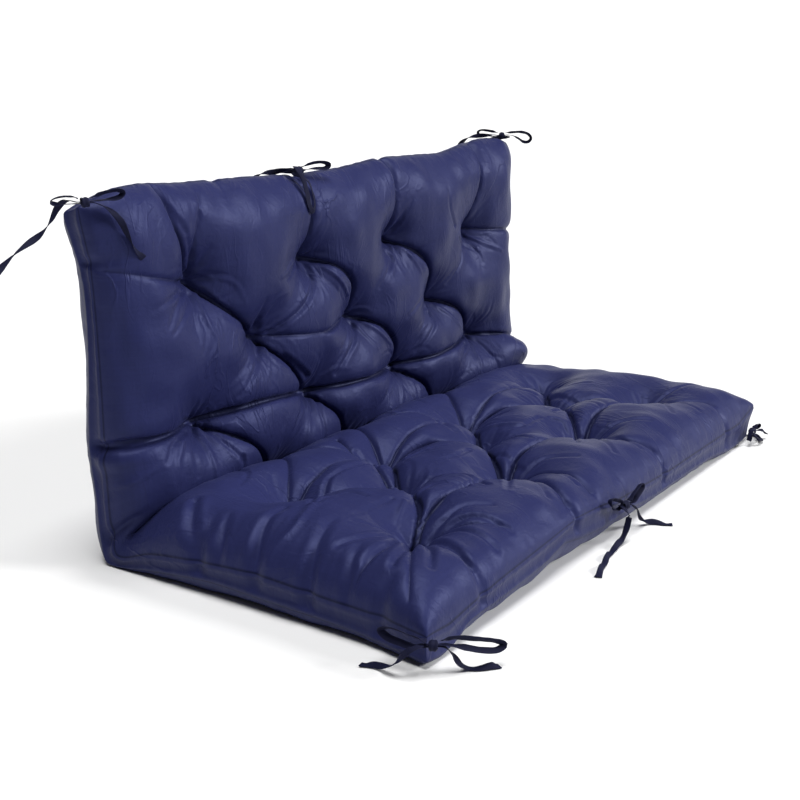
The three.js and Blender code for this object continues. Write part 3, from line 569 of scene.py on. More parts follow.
# The finer wrinkles, in the same columns. A depth below zero is a ridge.
fineWrinkles = inMetres((
    # back, upper left
    (((-465, 27), (-458, 46), (-437, 72)), 4, 1, 3),
    (((-434, 80), (-409, 121), (-410, 141)), 4, 3, 4),
    (((-421, 36), (-424, 57), (-425, 82), (-410, 108)), 5, 1, 2.5),
    (((-406, 33), (-397, 51)), 4, -2, -1),
    (((-403, 137), (-396, 116), (-385, 96)), 4.5, 4, 1),
    (((-401, 147), (-382, 145), (-359, 143)), 6, 6, 1),
    (((-429, 156), (-471, 169), (-501, 198)), 4, 4, 1),
    (((-452, 152), (-494, 159), (-527, 169)), 4.5, 3, 1),
    (((-415, 163), (-432, 176), (-464, 192), (-495, 211)), 3.5, 3.5, 1),
    (((-409, 165), (-426, 190), (-436, 212), (-436, 232)), 3.5, 3, 1),
    (((-395, 167), (-406, 205), (-399, 242), (-419, 267), (-422, 294)), 3.5, -3, -1.5),
    (((-419, 200), (-417, 223), (-431, 252)), 3.5, 2, 1),
    (((-368, 175), (-347, 196)), 3, -1.5, -1),
    # back, by the second tuft
    (((-183, 143), (-203, 154), (-230, 161)), 3.5, -3, -1),
    (((-159, 147), (-183, 161), (-210, 169)), 3.5, 4, 1.5),
    (((-122, 159), (-122, 178), (-136, 196), (-165, 219), (-204, 240), (-239, 259)), 4.5, 4, 5),
    (((-131, 161), (-132, 176), (-142, 192), (-170, 211)), 3.5, -2.5, -1.5),
    (((-111, 163), (-105, 194), (-96, 223)), 3, -2.5, -1),
    (((-90, 165), (-60, 189), (-25, 223)), 3.5, -3, -3),
    (((82, 144), (126, 173), (90, 198), (64, 224)), 3.5, 4, 1.5),
    (((147, 154), (132, 177), (102, 204)), 3.5, -3, -1),
    (((152, 157), (153, 192)), 3, 2.5, 1),
    (((164, 160), (185, 185), (202, 214)), 3.5, -2.5, -1.5),
    (((335, 160), (364, 194), (336, 227), (311, 253)), 3.5, 4, 1.5),
    (((355, 163), (422, 197), (433, 223)), 3.5, 3, 1),
    (((422, 169), (460, 187), (501, 205)), 3.5, -2.5, -1),
    (((311, 132), (286, 97), (288, 67)), 4, 3, 1),
    (((143, 126), (154, 98), (172, 77)), 4.5, 3, 1),
    (((-132, 124), (-114, 90), (-97, 59)), 4.5, 3, 1),
    # back, second row
    (((-264, 246), (-268, 224), (-265, 198)), 6, 5, 1.5),
    (((-260, 280), (-281, 296), (-308, 318), (-346, 349)), 4.5, 4.5, 2),
    (((-248, 283), (-260, 304), (-275, 330)), 3.5, -2.5, -1),
    (((-243, 280), (-219, 310), (-201, 331)), 3.5, -2, -1),
    (((-214, 305), (-181, 331), (-147, 357)), 4, 3, 5),
    (((-51, 267), (-88, 275), (-113, 279)), 4, 4, 2),
    (((9, 286), (-12, 312), (-55, 342), (-80, 367)), 4.5, 4, 3),
    (((15, 291), (25, 314), (44, 344)), 3, -3, -1),
    (((36, 288), (61, 313), (97, 341)), 3.5, -2.5, -1.5),
    (((249, 295), (252, 326), (219, 354), (188, 378)), 4, 4, 2),
    (((289, 300), (315, 325), (345, 357)), 3.5, -2.5, -1.5),
    (((196, 261), (161, 279), (136, 292)), 3.5, 3, 1),
    (((-280, 251), (-333, 225), (-363, 208)), 4, 2.5, 1),
    # back, third row
    (((-450, 385), (-501, 394), (-528, 421)), 4, 4, 1.5),
    (((-481, 396), (-506, 426), (-508, 458)), 5, -3, -1),
    (((-437, 391), (-467, 422), (-472, 460)), 5, 3, 1),
    (((-420, 391), (-432, 433), (-431, 558)), 5, -3.5, -1),
    (((-406, 392), (-393, 426), (-369, 465)), 4, 3, 2),
    (((-367, 459), (-387, 581), (-441, 619)), 4, 3.5, 2),
    (((-586, 439), (-572, 433), (-552, 427)), 5, -2, -1),
    (((-598, 449), (-597, 444), (-586, 441)), 4, 3.5, 1),
    (((-165, 397), (-202, 420), (-232, 441)), 4, 3.5, 1),
    (((-147, 405), (-170, 439), (-189, 470)), 4.5, -3, -1),
    (((-120, 409), (-134, 450), (-142, 566)), 4, 3, 1.5),
    (((108, 413), (65, 437), (32, 456)), 4, 3.5, 1),
    (((129, 421), (115, 455), (23, 606)), 4.5, -3, -1),
    (((162, 419), (169, 457), (116, 597)), 4, 3, 1.5),
    (((383, 399), (341, 423), (312, 447)), 4, 3.5, 1),
    (((409, 403), (397, 436), (368, 569)), 4.5, -3, -1),
    (((430, 403), (437, 435), (452, 494)), 4, 3, 1),
    # seat, left end
    (((-530, 610), (-568, 640), (-597, 672)), 8, 6, 5),
    (((-545, 695), (-597, 716)), 7, 2, 5),
    (((-500, 765), (-555, 770), (-597, 782)), 7, 3, 6),
    (((-475, 800), (-540, 820), (-590, 806)), 6, -3, -2),
    (((-510, 860), (-555, 872), (-597, 880)), 8, 3, 5),
    (((-545, 935), (-597, 950)), 7, 2, 5),
    # seat, rear row
    (((-472, 793), (-413, 760), (-337, 716), (-301, 716), (-214, 723)), 4.5, 4, 4),
    (((-470, 800), (-421, 795), (-396, 808), (-395, 837)), 4, 3, 3),
    (((-162, 644), (-178, 684), (-204, 724)), 4.5, 4, 5),
    (((-207, 742), (-224, 768), (-337, 851)), 3.5, -3, -3),
    (((-171, 743), (-107, 725), (-95, 749)), 4, 3.5, 2),
    (((-171, 755), (-131, 765), (-101, 792)), 4, -3.5, -2),
    (((14, 733), (25, 703), (72, 652)), 4.5, 3.5, 1.5),
    (((65, 737), (135, 737), (156, 767)), 4, 3.5, 2),
    (((72, 746), (88, 789), (96, 844)), 4, -3, -2),
    (((333, 728), (314, 700), (318, 669)), 4.5, 3, 1.5),
    (((378, 729), (398, 768), (416, 811)), 4, 3, 1.5),
    (((350, 756), (328, 835), (287, 917)), 5, 3, 2),
    # seat, second row
    (((-329, 868), (-236, 835), (-222, 872), (-221, 913), (-254, 966)), 4, 4, 4),
    (((-327, 877), (-289, 884), (-271, 909), (-264, 942)), 4, -3, -3),
    (((-376, 871), (-413, 868), (-460, 866)), 5, 3, 1),
    (((-364, 889), (-397, 901), (-429, 916)), 4, -3, -1),
    (((8, 818), (14, 852), (18, 892)), 4, 4, 3),
    (((-66, 847), (-57, 875), (-84, 929)), 4, 3, 2),
    (((-96, 836), (-144, 839), (-168, 823)), 4, 3, 1.5),
    (((199, 845), (279, 859), (262, 921)), 4, 4, 2),
    (((159, 859), (157, 890), (26, 977)), 4, 4, 4),
    (((145, 841), (93, 837), (74, 810)), 4, 3, 1.5),
    # seat, front row, left tuft
    (((-448, 950), (-500, 962), (-560, 958)), 5.5, 8, 3),
    (((-446, 956), (-495, 985), (-555, 1000)), 5.5, 8, 4),
    (((-440, 962), (-480, 1008), (-530, 1045)), 5.5, 8, 4),
    (((-432, 966), (-448, 1015), (-470, 1065)), 5.5, 7, 4),
    (((-418, 966), (-400, 1010), (-405, 1070)), 5.5, 7, 4),
    (((-408, 962), (-362, 1000), (-352, 1062)), 5, 6, 3),
    (((-404, 955), (-345, 972), (-318, 1010)), 5, 5, 2),
    (((-445, 942), (-500, 930), (-552, 905)), 5, 6, 2.5),
    (((-436, 936), (-462, 908), (-482, 880)), 5, 5, 2),
    # seat, front row, second tuft
    (((-138, 932), (-190, 965), (-255, 1000)), 4.5, 4.5, 2),
    (((-132, 938), (-160, 990), (-215, 1050)), 4.5, 4.5, 2.5),
    (((-118, 938), (-105, 985), (-125, 1055)), 4.5, 4.5, 2.5),
    (((-110, 930), (-60, 960), (-40, 1010)), 4.5, 4, 2),
    # seat, front row, third tuft
    (((130, 938), (90, 985), (40, 1040)), 4.5, 4.5, 2),
    (((140, 940), (140, 990), (118, 1055)), 4.5, 4, 2),
    (((148, 936), (200, 972), (232, 1020)), 4.5, 4, 2),
    # seat, front row, right tuft
    (((404, 940), (365, 985), (312, 1030)), 4.5, 4, 2),
    (((412, 944), (415, 995), (396, 1055)), 4.5, 3.5, 2),
    (((420, 940), (480, 970), (535, 990)), 4.5, 3.5, 2),
))

# Where the edge of the pad is pinched in: edge, place along it, half width, depth and reach from the edge, in
# millimetres.
pinches = (
    ("left", 378, 8, 11, 70), ("left", 400, 12, -5, 40), ("left", 486, 7, 8, 30), ("left", 90, 9, 4, 40),
    ("left", 676, 11, 6, 40), ("left", 785, 13, 5, 40), ("left", 882, 12, 6, 40), ("left", 1010, 12, 5, 40),
    ("right", 165, 10, 6, 50), ("right", 415, 10, 8, 60), ("right", 690, 10, 5, 40),
    ("right", 930, 10, 5, 40),
    ("top", -127, 9, 5, 50), ("top", -330, 11, 3, 40), ("top", 130, 10, 5, 45), ("top", 450, 10, 5, 40),
    ("front", -470, 9, 5, 40), ("front", -190, 8, 6, 40), ("front", 150, 9, 5, 40), ("front", 460, 9, 5, 40),
)


# A smooth curve through the rows' values: cubic, with each row's slope taken from its neighbours.
def alongPad(rows, column, s):
    values = np.array([row[column] for row in rows.values()])
    slopes = np.empty_like(values)
    slopes[1:-1] = (values[2:] - values[:-2]) / (rowAt[2:] - rowAt[:-2])[:, None]
    slopes[0] = (values[1] - values[0]) / rowAt[1]
    slopes[-1] = (values[-1] - values[-2]) / (rowAt[-1] - rowAt[-2])
    i = np.clip(np.searchsorted(rowAt, s) - 1, 0, len(rowAt) - 2)
    span = (rowAt[i + 1] - rowAt[i])[..., None]
    t = (s[..., None] - rowAt[i][..., None]) / span
    return cubic(values[i], values[i + 1], span * slopes[i], span * slopes[i + 1], t)


# Quarter ellipse: 0 at the seam, 1 from the given reach inwards.
def roll(distance, reach):
    t = np.clip(distance / reach, 0, 1)
    return np.sqrt(1 - (1 - t) ** 2)


# Distance from each place to the straight line between two points, and how far along that line the nearest
# point is.
def toLine(places, first, last):
    step = np.subtract(last, first)
    t = np.clip((places - first) @ step / (step @ step), 0, 1)
    return np.linalg.norm(places - first - t[..., None] * step, axis=-1), t


def toTufts(places):
    return np.min([np.linalg.norm(places - tuft, axis=-1) for tuft in tufts], axis=0)


# 0 at a tuft and 1 on a crown, by 1 - exp(-(distance / reach) ^ 1.2), and lower by a share of
# exp(-(distance / reach) ^ 2) along the valleys from tuft to tuft.
def pillow(places, values):
    pairs = [
        (a, b)
        for i, a in enumerate(tufts)
        for b in tufts[i + 1 :]
        if np.linalg.norm(a - b) < values["longestValley"]
    ]
    valley = np.min([toLine(places, a, b)[0] for a, b in pairs], axis=0)
    dimple = 1 - np.exp(-((toTufts(places) / values["tuftReach"]) ** 1.2))
    return dimple * (1 - values["valleyDepth"] * np.exp(-((valley / values["valleyReach"]) ** 2)))


# A curve through the points, as short straight pieces: a cubic between each two points, with the slope at a
# point taken from its neighbours.
def throughPoints(points, pieces):
    points = np.asarray(points, float)
    slopes = np.gradient(points, axis=0)
    t = np.linspace(0, 1, pieces, endpoint=False)[:, None, None]
    curve = cubic(points[:-1], points[1:], slopes[:-1], slopes[1:], t)
    return np.concatenate((curve.transpose(1, 0, 2).reshape(-1, points.shape[1]), points[-1:]))


# Distance from each place to a curve, how far along the curve the nearest point is, from 0 to 1, and that
# point.
def toCurve(places, curve):
    lengths = np.linalg.norm(np.diff(curve, axis=0), axis=1)
    starts = np.concatenate(([0.0], np.cumsum(lengths)))
    distance = np.full(len(places), np.inf)
    travelled = np.zeros(len(places))
    foot = places.copy()
    for k, length in enumerate(lengths):
        away, t = toLine(places, curve[k], curve[k + 1])
        closer = away < distance
        distance = np.where(closer, away, distance)
        travelled = np.where(closer, (starts[k] + t * length) / starts[-1], travelled)
        foot = np.where(closer[:, None], curve[k] + t[:, None] * (curve[k + 1] - curve[k]), foot)
    return distance, travelled, foot


def closeTo(places, curve, reach):
    return ((places > curve.min(axis=0) - reach) & (places < curve.max(axis=0) + reach)).all(axis=-1)


# For each place the nearest point of any crease, its distance, how deep the crease is there, and the
# deepest of all creases: depth * exp(-(distance / half width) ^ 1.3).
def nearCreases(places, creases, reach):
    nearest = np.full(places.shape[:-1], np.inf)
    nearestPoint = places.copy()
    nearestDepth = np.zeros(nearest.shape)
    depth = np.zeros(nearest.shape)
    for points, halfWidth, firstDepth, lastDepth in creases:
        curve = throughPoints(points, 5)
        close = closeTo(places, curve, reach)
        distance, travelled, foot = toCurve(places[close], curve)
        deep = firstDepth + (lastDepth - firstDepth) * travelled
        depth[close] = np.maximum(depth[close], deep * np.exp(-((distance / halfWidth) ** 1.3)))
        better = distance < nearest[close]
        nearest[close] = np.where(better, distance, nearest[close])
        nearestPoint[close] = np.where(better[:, None], foot, nearestPoint[close])
        nearestDepth[close] = np.where(better, deep, nearestDepth[close])
    return nearestPoint, nearest, nearestDepth, depth


# How far wrinkles take each place inwards: for every one a groove, depth * exp(-(distance / half width) ^
# power), with a low swelling on both sides, share * depth * exp(-((distance / half width - 2) / 0.9) ^ 2).
def wrinkleRelief(places, wrinkles, power, swelling):
    relief = np.zeros(len(places))
    for points, halfWidth, firstDepth, lastDepth in wrinkles:
        curve = throughPoints(points, 4)
        close = closeTo(places, curve, 4 * halfWidth)
        distance, travelled, _ = toCurve(places[close], curve)
        deep = firstDepth + (lastDepth - firstDepth) * travelled
        across = distance / halfWidth
        relief[close] += deep * np.exp(-(across**power))
        relief[close] -= swelling * deep * np.exp(-(((across - 2) / 0.9) ** 2))
    return relief


# Rays of wrinkles round every tuft, at uneven angles and of uneven length, each bending a little.
def tuftRays(values, seed):
    random = np.random.default_rng(seed)
    rays = []
    for tuft in tufts:
        angle = random.uniform(0, 2 * np.pi)
        for _ in range(values["raysPerTuft"]):
            angle += random.uniform(*values["raySpacing"]) * 2 * np.pi / values["raysPerTuft"]
            along = np.linspace(0, 1, 4)
            away = values["rayStart"] + along * random.uniform(*values["rayLength"])
            turned = angle + random.uniform(-values["rayBend"], values["rayBend"]) * along**2
            points = tuft + away[:, None] * np.stack((np.cos(turned), np.sin(turned)), axis=1)
            depth = random.uniform(*values["rayDepth"]) * random.choice((-1, 1))
            halfWidth = random.uniform(*values["rayHalfWidth"])
            rays.append((points, halfWidth, depth, values["rayEnd"] * depth))
    return rays


# Creases from tuft to neighbouring tuft, each bending a little to one side.
def tuftToTuft(values, seed):
    random = np.random.default_rng(seed)
    creases = []
    for i, a in enumerate(tufts):
        for b in tufts[i + 1 :]:
            if np.linalg.norm(b - a) < values["longestValley"]:
                bend = random.uniform(-values["underBend"], values["underBend"])
                aside = np.array([a[1] - b[1], b[0] - a[0]]) * bend
                size = values["underCrease"]
                creases.append((np.array([a, (a + b) / 2 + aside, b]), size, size, size))
    return creases


# Uneven from about -1 to 1 over the cloth: waves of many headings, added up.
def unevenCloth(places, wavelength, seed):
    random = np.random.default_rng(seed)
    count = 14
    heading = random.uniform(0, 2 * np.pi, count)
    number = 2 * np.pi / (wavelength * random.uniform(0.7, 1.5, count))
    start = random.uniform(0, 2 * np.pi, count)
    waves = np.stack((np.cos(heading) * number, np.sin(heading) * number))
    return np.sin(places @ waves + start).sum(axis=1) / 4


def seamAt(s, values):  # x of an end seam: straight, with the corners standing out
    corner = np.minimum(s, padLength - s)
    return values["halfWidth"] + values["cornerEar"] * np.exp(-((corner / values["earReach"]) ** 2))


# A cloth of the pad over places (x, s), where s is the distance from the top of the back. Each point is
# seam + rise * (tuft - seam + pillow * (crown - tuft)), where rise is a product of quarter ellipses from
# the edges, and the top cloth goes in by its creases.
def clothSurface(places, values, under=False):
    rows = underCloth if under else topCloth
    reach = values["underRoll"] if under else values["topRoll"]
    x, s = places[..., 0], places[..., 1]
    rise = roll(seamAt(s, values) - np.abs(x), reach) * roll(s, reach) * roll(padLength - s, reach)
    fill = pillow(places, values) * values["startFill"]
    seam, tuft, crown = (alongPad(rows, column, s) for column in range(3))
    lift = crown - tuft
    outward = lift / np.linalg.norm(lift, axis=-1, keepdims=True)
    yz = seam + rise[..., None] * (tuft - seam + fill[..., None] * lift)
    if not under:
        depth = nearCreases(places, mainCreases, values["creaseReach"])[3]
        yz = yz - (smooth(rise, 0, values["creaseRise"]) * depth)[..., None] * outward
        swell = ((x - values["lowBulgeAt"]) / values["lowBulgeAcross"]) ** 2
        swell = swell + ((s - rowNamed["low band"]) / values["lowBulgeAlong"]) ** 2
        yz[..., 0] -= values["lowBulge"] * rise * np.exp(-swell)
    topRise = np.interp(x, *np.transpose(topEdge)) * (1 - smooth(s, 0, rowNamed["back 1"]))
    edge = frontUnderSeam if under else frontSeam
    frontRise = np.interp(x, *np.transpose(edge)) * smooth(s, padLength - values["frontReach"], padLength)
    yz[..., 1] = np.maximum(yz[..., 1] + topRise + frontRise * (1 - rise), 0)
    tuck = values["cornerTuck"] * smooth(x, values["tuckFrom"], values["halfWidth"] + values["cornerEar"])
    tuck = tuck * smooth(s, padLength - values["tuckReach"], padLength)
    tuck = tuck * (1 - smooth(yz[..., 1], 0, values["tuckHeight"]))
    return np.concatenate(((x - tuck)[..., None], yz), axis=-1)


# The pad as one closed mesh of squares: the top cloth on a grid, the side strip as rings around its border,
# and the under cloth on a grid of half as many cells each way. The cells of the last ring go over from
# whole to half. Returns the points, the same points on the cloth laid out flat, the faces, how firmly each
# point is held, for each point its place (x, s, side) with side from 1 on the top cloth to -1 on the under
# cloth, and for each face corner its place on the weave.
def padMesh(values):
    across = 2 * round(values["halfWidth"] / values["cell"])
    along = 2 * round(padLength / values["cell"] / 2)
    u, s = np.meshgrid(np.linspace(-1, 1, across + 1), np.linspace(0, padLength, along + 1))
    places = np.stack((u * seamAt(s, values), s), axis=-1)
    underPlaces = places[::2, ::2]
    # The mesh lines give way, so that points of the mesh lie nearly on the bottom of each crease, and never
    # two on the same spot.
    onCrease, distance, creaseDepth, _ = nearCreases(places, mainCreases, values["creaseReach"])
    pull = values["meshPull"] * (1 - smooth(distance / values["cell"], *values["pullCells"]))
    inside = (np.abs(u) < 1) & (s > 0) & (s < padLength)
    topPlaces = np.where(inside[..., None], places + pull[..., None] * (onCrease - places), places)
    top = clothSurface(topPlaces, values)
    under = clothSurface(underPlaces, values, under=True)
    places = topPlaces
    stripFlat = values["stripFlat"]
    wide, long = 1 + values["extraAcross"], 1 + values["extraAlong"]
    topFlat = np.stack((u * values["halfWidth"] * wide, s * long, np.full_like(u, stripFlat / 2)), axis=-1)
    underFlat = topFlat[::2, ::2] * (1, 1, -1)

    def border(grid):  # once around a grid: along its top, down its right side, back along the front and up
        return np.concatenate((grid[0, :-1], grid[:-1, -1], grid[-1, :0:-1], grid[:0:-1, 0]))

    topIndex = np.arange(u.size).reshape(u.shape)
    rings = values["stripRings"]
    outer = border(top)
    inner = border(under)
    ahead = np.roll(inner, -1, axis=0)
    innerWhole = np.stack((inner, (inner + ahead) / 2), axis=1).reshape(-1, 3)
    outward = np.cross(np.roll(outer, -1, axis=0) - np.roll(outer, 1, axis=0), innerWhole - outer)
    outward /= np.maximum(np.linalg.norm(outward, axis=1, keepdims=True), 1e-9)
    ringShares = np.arange(1, rings)[:, None, None] / rings
    belly = values["stripBelly"] * np.sin(np.pi * ringShares)
    ringPoints = outer + ringShares * (innerWhole - outer) - belly * outward
    outerFlat, innerFlat = border(topFlat), border(topFlat) * (1, 1, -1)
    ringFlat = outerFlat + ringShares * (innerFlat - outerFlat)
    around = len(outer)
    ringIndex = np.concatenate(
        (border(topIndex)[None], u.size + np.arange((rings - 1) * around).reshape(rings - 1, around))
    )
    underIndex = u.size + (rings - 1) * around + np.arange(under[..., 0].size).reshape(under.shape[:2])
    points = np.concatenate((top.reshape(-1, 3), ringPoints.reshape(-1, 3), under.reshape(-1, 3)))
    flat = np.concatenate((topFlat.reshape(-1, 3), ringFlat.reshape(-1, 3), underFlat.reshape(-1, 3)))

    closedRings = np.concatenate((ringIndex, ringIndex[:, :1]), axis=1)
    last = ringIndex[-1]
    half = border(underIndex)
    goOver = np.stack((last[::2], last[1::2], np.roll(last, -2)[::2], np.roll(half, -1), half), axis=-1)
    faces = [
        squares(topIndex),
        squares(closedRings)[:, ::-1],
        squares(underIndex)[:, ::-1],
    ]
    polygons = [face for block in faces for face in block.tolist()] + goOver.tolist()

    edge = border(places)
    ringPlaces = np.concatenate((np.tile(edge, (rings - 1, 1)), np.zeros(((rings - 1) * around, 1))), axis=1)
    ringPlaces[:, 2] = 1 - 2 * np.repeat(np.arange(1, rings) / rings, around)
    laidOut = np.concatenate((
        np.insert(places.reshape(-1, 2), 2, 1, axis=1),
        ringPlaces,
        np.insert(underPlaces.reshape(-1, 2), 2, -1, axis=1),
    ))

    # The strip's weave runs along it, so it has its own places: distance round the border and down the strip.
    stripAlong = np.concatenate(([0], np.cumsum(np.linalg.norm(np.roll(edge, -1, axis=0) - edge, axis=1))))
    stripWeave = np.stack(np.meshgrid(stripAlong, np.linspace(0, stripFlat, rings + 1)), axis=-1)
    stripIds = len(points) + np.arange(stripWeave[..., 0].size).reshape(stripWeave.shape[:2])
    weave = np.concatenate((laidOut[:, :2], stripWeave.reshape(-1, 2)))
    first, second = stripIds[rings - 1], stripIds[rings]
    lastWeave = np.stack((first[:-1:2], first[1::2], first[2::2], second[2::2], second[:-1:2]), axis=-1)
    corners = np.concatenate([
        ids.ravel()
        for ids in (faces[0], squares(stripIds[:rings])[:, ::-1], faces[2], lastWeave)
    ])

    held = np.zeros(len(points))
    inCrease = smooth(creaseDepth, *values["heldDepth"]) * inside
    inCrease *= distance < values["heldCells"] * values["cell"]
    onTop = np.maximum(inCrease * values["creaseHold"], toTufts(topPlaces) < values["tuftHold"])
    held[: u.size] = onTop.ravel()
    held[border(topIndex)] = values["seamHold"]
    held[u.size : underIndex[0, 0]] = values["stripHold"]
    onFloor = (under[..., 2] < 1e-6) | (toTufts(underPlaces) < 2 * values["tuftHold"])
    held[underIndex] = np.where(onFloor, 1.0, 0.0)
    held[half] = values["seamHold"]
    return points, flat, polygons, held, laidOut, weave[corners]


# The filled pad swells: Blender's cloth, cut a little larger than the pad, held at the tufts, seams and
# creases, with pressure from inside. No point moves further than the greatest move.
def swellPad(values):
    points, flat, polygons, held, laidOut, weave = padMesh(values)
    pad = meshObject("pad", points, polygons)
    pad.shape_key_add(name="start")
    cutShape = pad.shape_key_add(name="laid out flat")
    cutShape.data.foreach_set("co", flat.ravel())
    cutShape.value = 0
    hold = pad.vertex_groups.new(name="hold")
    for level in np.unique(np.round(held[held > 0], 2)):
        hold.add(np.nonzero(np.round(held, 2) == level)[0].tolist(), float(level), "REPLACE")
    cloth = pad.modifiers.new("swell", "CLOTH")
    settings = cloth.settings
    settings.quality = values["simQuality"]
    settings.mass = values["simMass"]
    settings.air_damping = 1
    settings.tension_stiffness = settings.compression_stiffness = values["simTension"]
    settings.shear_stiffness = values["simShear"]
    settings.bending_stiffness = values["simBending"]
    settings.tension_damping = settings.compression_damping = settings.shear_damping = values["simDamping"]
    settings.bending_damping = values["simBendingDamping"]
    settings.vertex_group_mass = "hold"
    settings.pin_stiffness = 1
    settings.rest_shape_key = cutShape
    settings.use_pressure = True
    settings.uniform_pressure_force = values["simPressure"]
    settings.effector_weights.gravity = 0
    cloth.collision_settings.use_collision = False
    cloth.collision_settings.use_self_collision = False
    scene = bpy.context.scene
    cloth.point_cache.frame_start = 1
    cloth.point_cache.frame_end = values["simFrames"]
    for step in range(1, values["simFrames"] + 1):
        scene.frame_set(step)
    swollen = pad.evaluated_get(bpy.context.evaluated_depsgraph_get())
    swollenPoints = np.empty(points.size)
    swollen.data.vertices.foreach_get("co", swollenPoints)
    scene.frame_set(1)
    move = swollenPoints.reshape(-1, 3) - points
    distance = np.linalg.norm(move, axis=1, keepdims=True)
    print("pad moved by", np.round(np.percentile(distance, (50, 90, 99, 100)), 4))
    most = values["greatestMove"]
    move *= np.minimum(1, most * np.tanh(distance / most) / np.maximum(distance, 1e-9))
    bpy.data.objects.remove(pad)
    return points + move, polygons, laidOut, weave


# The pad's fine relief, taken along its normals after the swelling: sharp lines in the creases, wrinkles,
# rays round the tufts, grooves along both seams with gathers beside them, and pinches across the side
# strip.
def padRelief(laidOut, values):
    places, side = laidOut[:, :2], laidOut[:, 2]
    x, s = places.T
    toSide = seamAt(s, values) - np.abs(x)
    toEdge = np.minimum(np.minimum(toSide, s), padLength - s).clip(0)
    alongEdge = np.where(toEdge == toSide.clip(0), s, x)
    toTopSeam = toEdge + (1 - side) / 2 * values["stripFlat"]
    toUnderSeam = toEdge + (1 + side) / 2 * values["stripFlat"]
    inner = smooth(toEdge, 0, values["seamFade"])
    uneven = unevenCloth(places + 0.3 * side[:, None], values["unevenWave"], seed=3)
    relief = values["unevenness"] * uneven * inner

    onTop = np.nonzero(side > 0.999)[0]
    lines = [(points, values["creaseLineHalf"], values["creaseLine"] * a, values["creaseLine"] * b)
             for points, _, a, b in mainCreases]
    toCrease, creaseDepth = nearCreases(places[onTop], mainCreases, values["creaseReach"])[1:3]
    cloth = wrinkleRelief(places[onTop], lines, *values["lineShape"])
    # Guides for the painted shade lines: distance to a seam, to a main crease, and that crease's depth as a
    # share of the deepest
    shadeGuides = np.full((len(places), 3), 1.0)
    shadeGuides[onTop, 1] = toCrease.clip(0, 1)
    shadeGuides[:, 2] = 0
    shadeGuides[onTop, 2] = creaseDepth / values["deepestCrease"]
    cloth += wrinkleRelief(places[onTop], fineWrinkles, *values["wrinkleShape"])
    cloth += wrinkleRelief(places[onTop], tuftRays(values, seed=5), *values["rayShape"])
    relief[onTop] += cloth * smooth(toEdge[onTop], -0.004, 0.01)
    onUnder = np.nonzero(side < -0.999)[0]
    cloth = wrinkleRelief(places[onUnder], tuftToTuft(values, seed=6), *values["underShape"])
    cloth += wrinkleRelief(places[onUnder], tuftRays(values, seed=7), *values["rayShape"])
    relief[onUnder] += cloth * inner[onUnder]

    edgeOf = {"left": (x < 0) & (alongEdge == s), "right": (x > 0) & (alongEdge == s)}
    edgeOf["top"] = (s < padLength / 2) & (alongEdge == x)
    edgeOf["front"] = (s > padLength / 2) & (alongEdge == x)
    for edge, place, halfWidth, depth, reach in pinches:
        place, halfWidth, depth, reach = (millimetre * size for size in (place, halfWidth, depth, reach))
        near = np.exp(-(((alongEdge - place) / halfWidth) ** 2)) * edgeOf[edge]
        relief += depth * near * np.exp(-((toEdge / reach) ** 2)) * smooth(side, -1, 0.4)

    for toSeam, seed in ((toTopSeam, 11), (toUnderSeam, 12)):
        relief += values["seamGroove"] * np.exp(-((toSeam / values["seamGrooveHalf"]) ** 2))
        shadeGuides[:, 0] = np.minimum(shadeGuides[:, 0], toSeam)
        gathers = unevenLine(alongEdge + 0.7 * (np.abs(side) < 0.999), values["puckerStep"], seed)
        gathers = values["pucker"] * gathers * np.exp(-toSeam / values["puckerReach"])
        relief += gathers * smooth(toSeam, 0, 0.004)
    return relief, shadeGuides


def makePad(values):
    points, polygons, laidOut, weave = swellPad(values)
    rough = meshObject("roughPad", points, polygons)
    giveWeave(rough.data, weave)
    layer = rough.data.attributes.new("laidOut", "FLOAT_VECTOR", "POINT")
    layer.data.foreach_set("vector", laidOut.ravel())
    finer = rough.modifiers.new("finer", "SUBSURF")
    finer.levels = finer.render_levels = 1
    mesh = bpy.data.meshes.new_from_object(rough.evaluated_get(bpy.context.evaluated_depsgraph_get()))
    bpy.data.objects.remove(rough)
    count = len(mesh.vertices)
    finePoints, normals, fineLaidOut = (np.empty(3 * count) for _ in range(3))
    mesh.vertices.foreach_get("co", finePoints)
    mesh.vertex_normals.foreach_get("vector", normals)
    mesh.attributes["laidOut"].data.foreach_get("vector", fineLaidOut)
    finePoints, normals, fineLaidOut = (a.reshape(-1, 3) for a in (finePoints, normals, fineLaidOut))
    relief, shadeGuides = padRelief(fineLaidOut, values)
    finePoints = finePoints - relief[:, None] * normals
    # for the material, to paint shade along the seams and in the creases: distance to the nearest seam, to
    # the nearest main crease, and how deep that crease is
    layer = mesh.attributes.new("shadeGuides", "FLOAT_VECTOR", "POINT")
    layer.data.foreach_set("vector", shadeGuides.astype(np.float32).ravel())
    finePoints[:, 2] = finePoints[:, 2].clip(0)
    mesh.vertices.foreach_set("co", finePoints.ravel())
    mesh.attributes.remove(mesh.attributes["laidOut"])
    mesh.polygons.foreach_set("use_smooth", np.ones(len(mesh.polygons), bool))
    mesh.update()
    mesh.name = "swingPad"
    pad = bpy.data.objects.new("swingPad", mesh)
    bpy.context.collection.objects.link(pad)
    print("pad made:", len(mesh.polygons), "faces")
    return pad


# A shader node. Its inputs are named or numbered, each with a value or with the output that leads there,
# and the settings are its own.
def addNode(tree, kind, inputs, **settings):
    node = tree.nodes.new("ShaderNode" + kind)
    for name, value in settings.items():
        setattr(node, name, value)
    for name, value in inputs.items():
        if isinstance(value, bpy.types.NodeSocket):
            tree.links.new(value, node.inputs[name])
        else:
            node.inputs[name].default_value = value
    return node


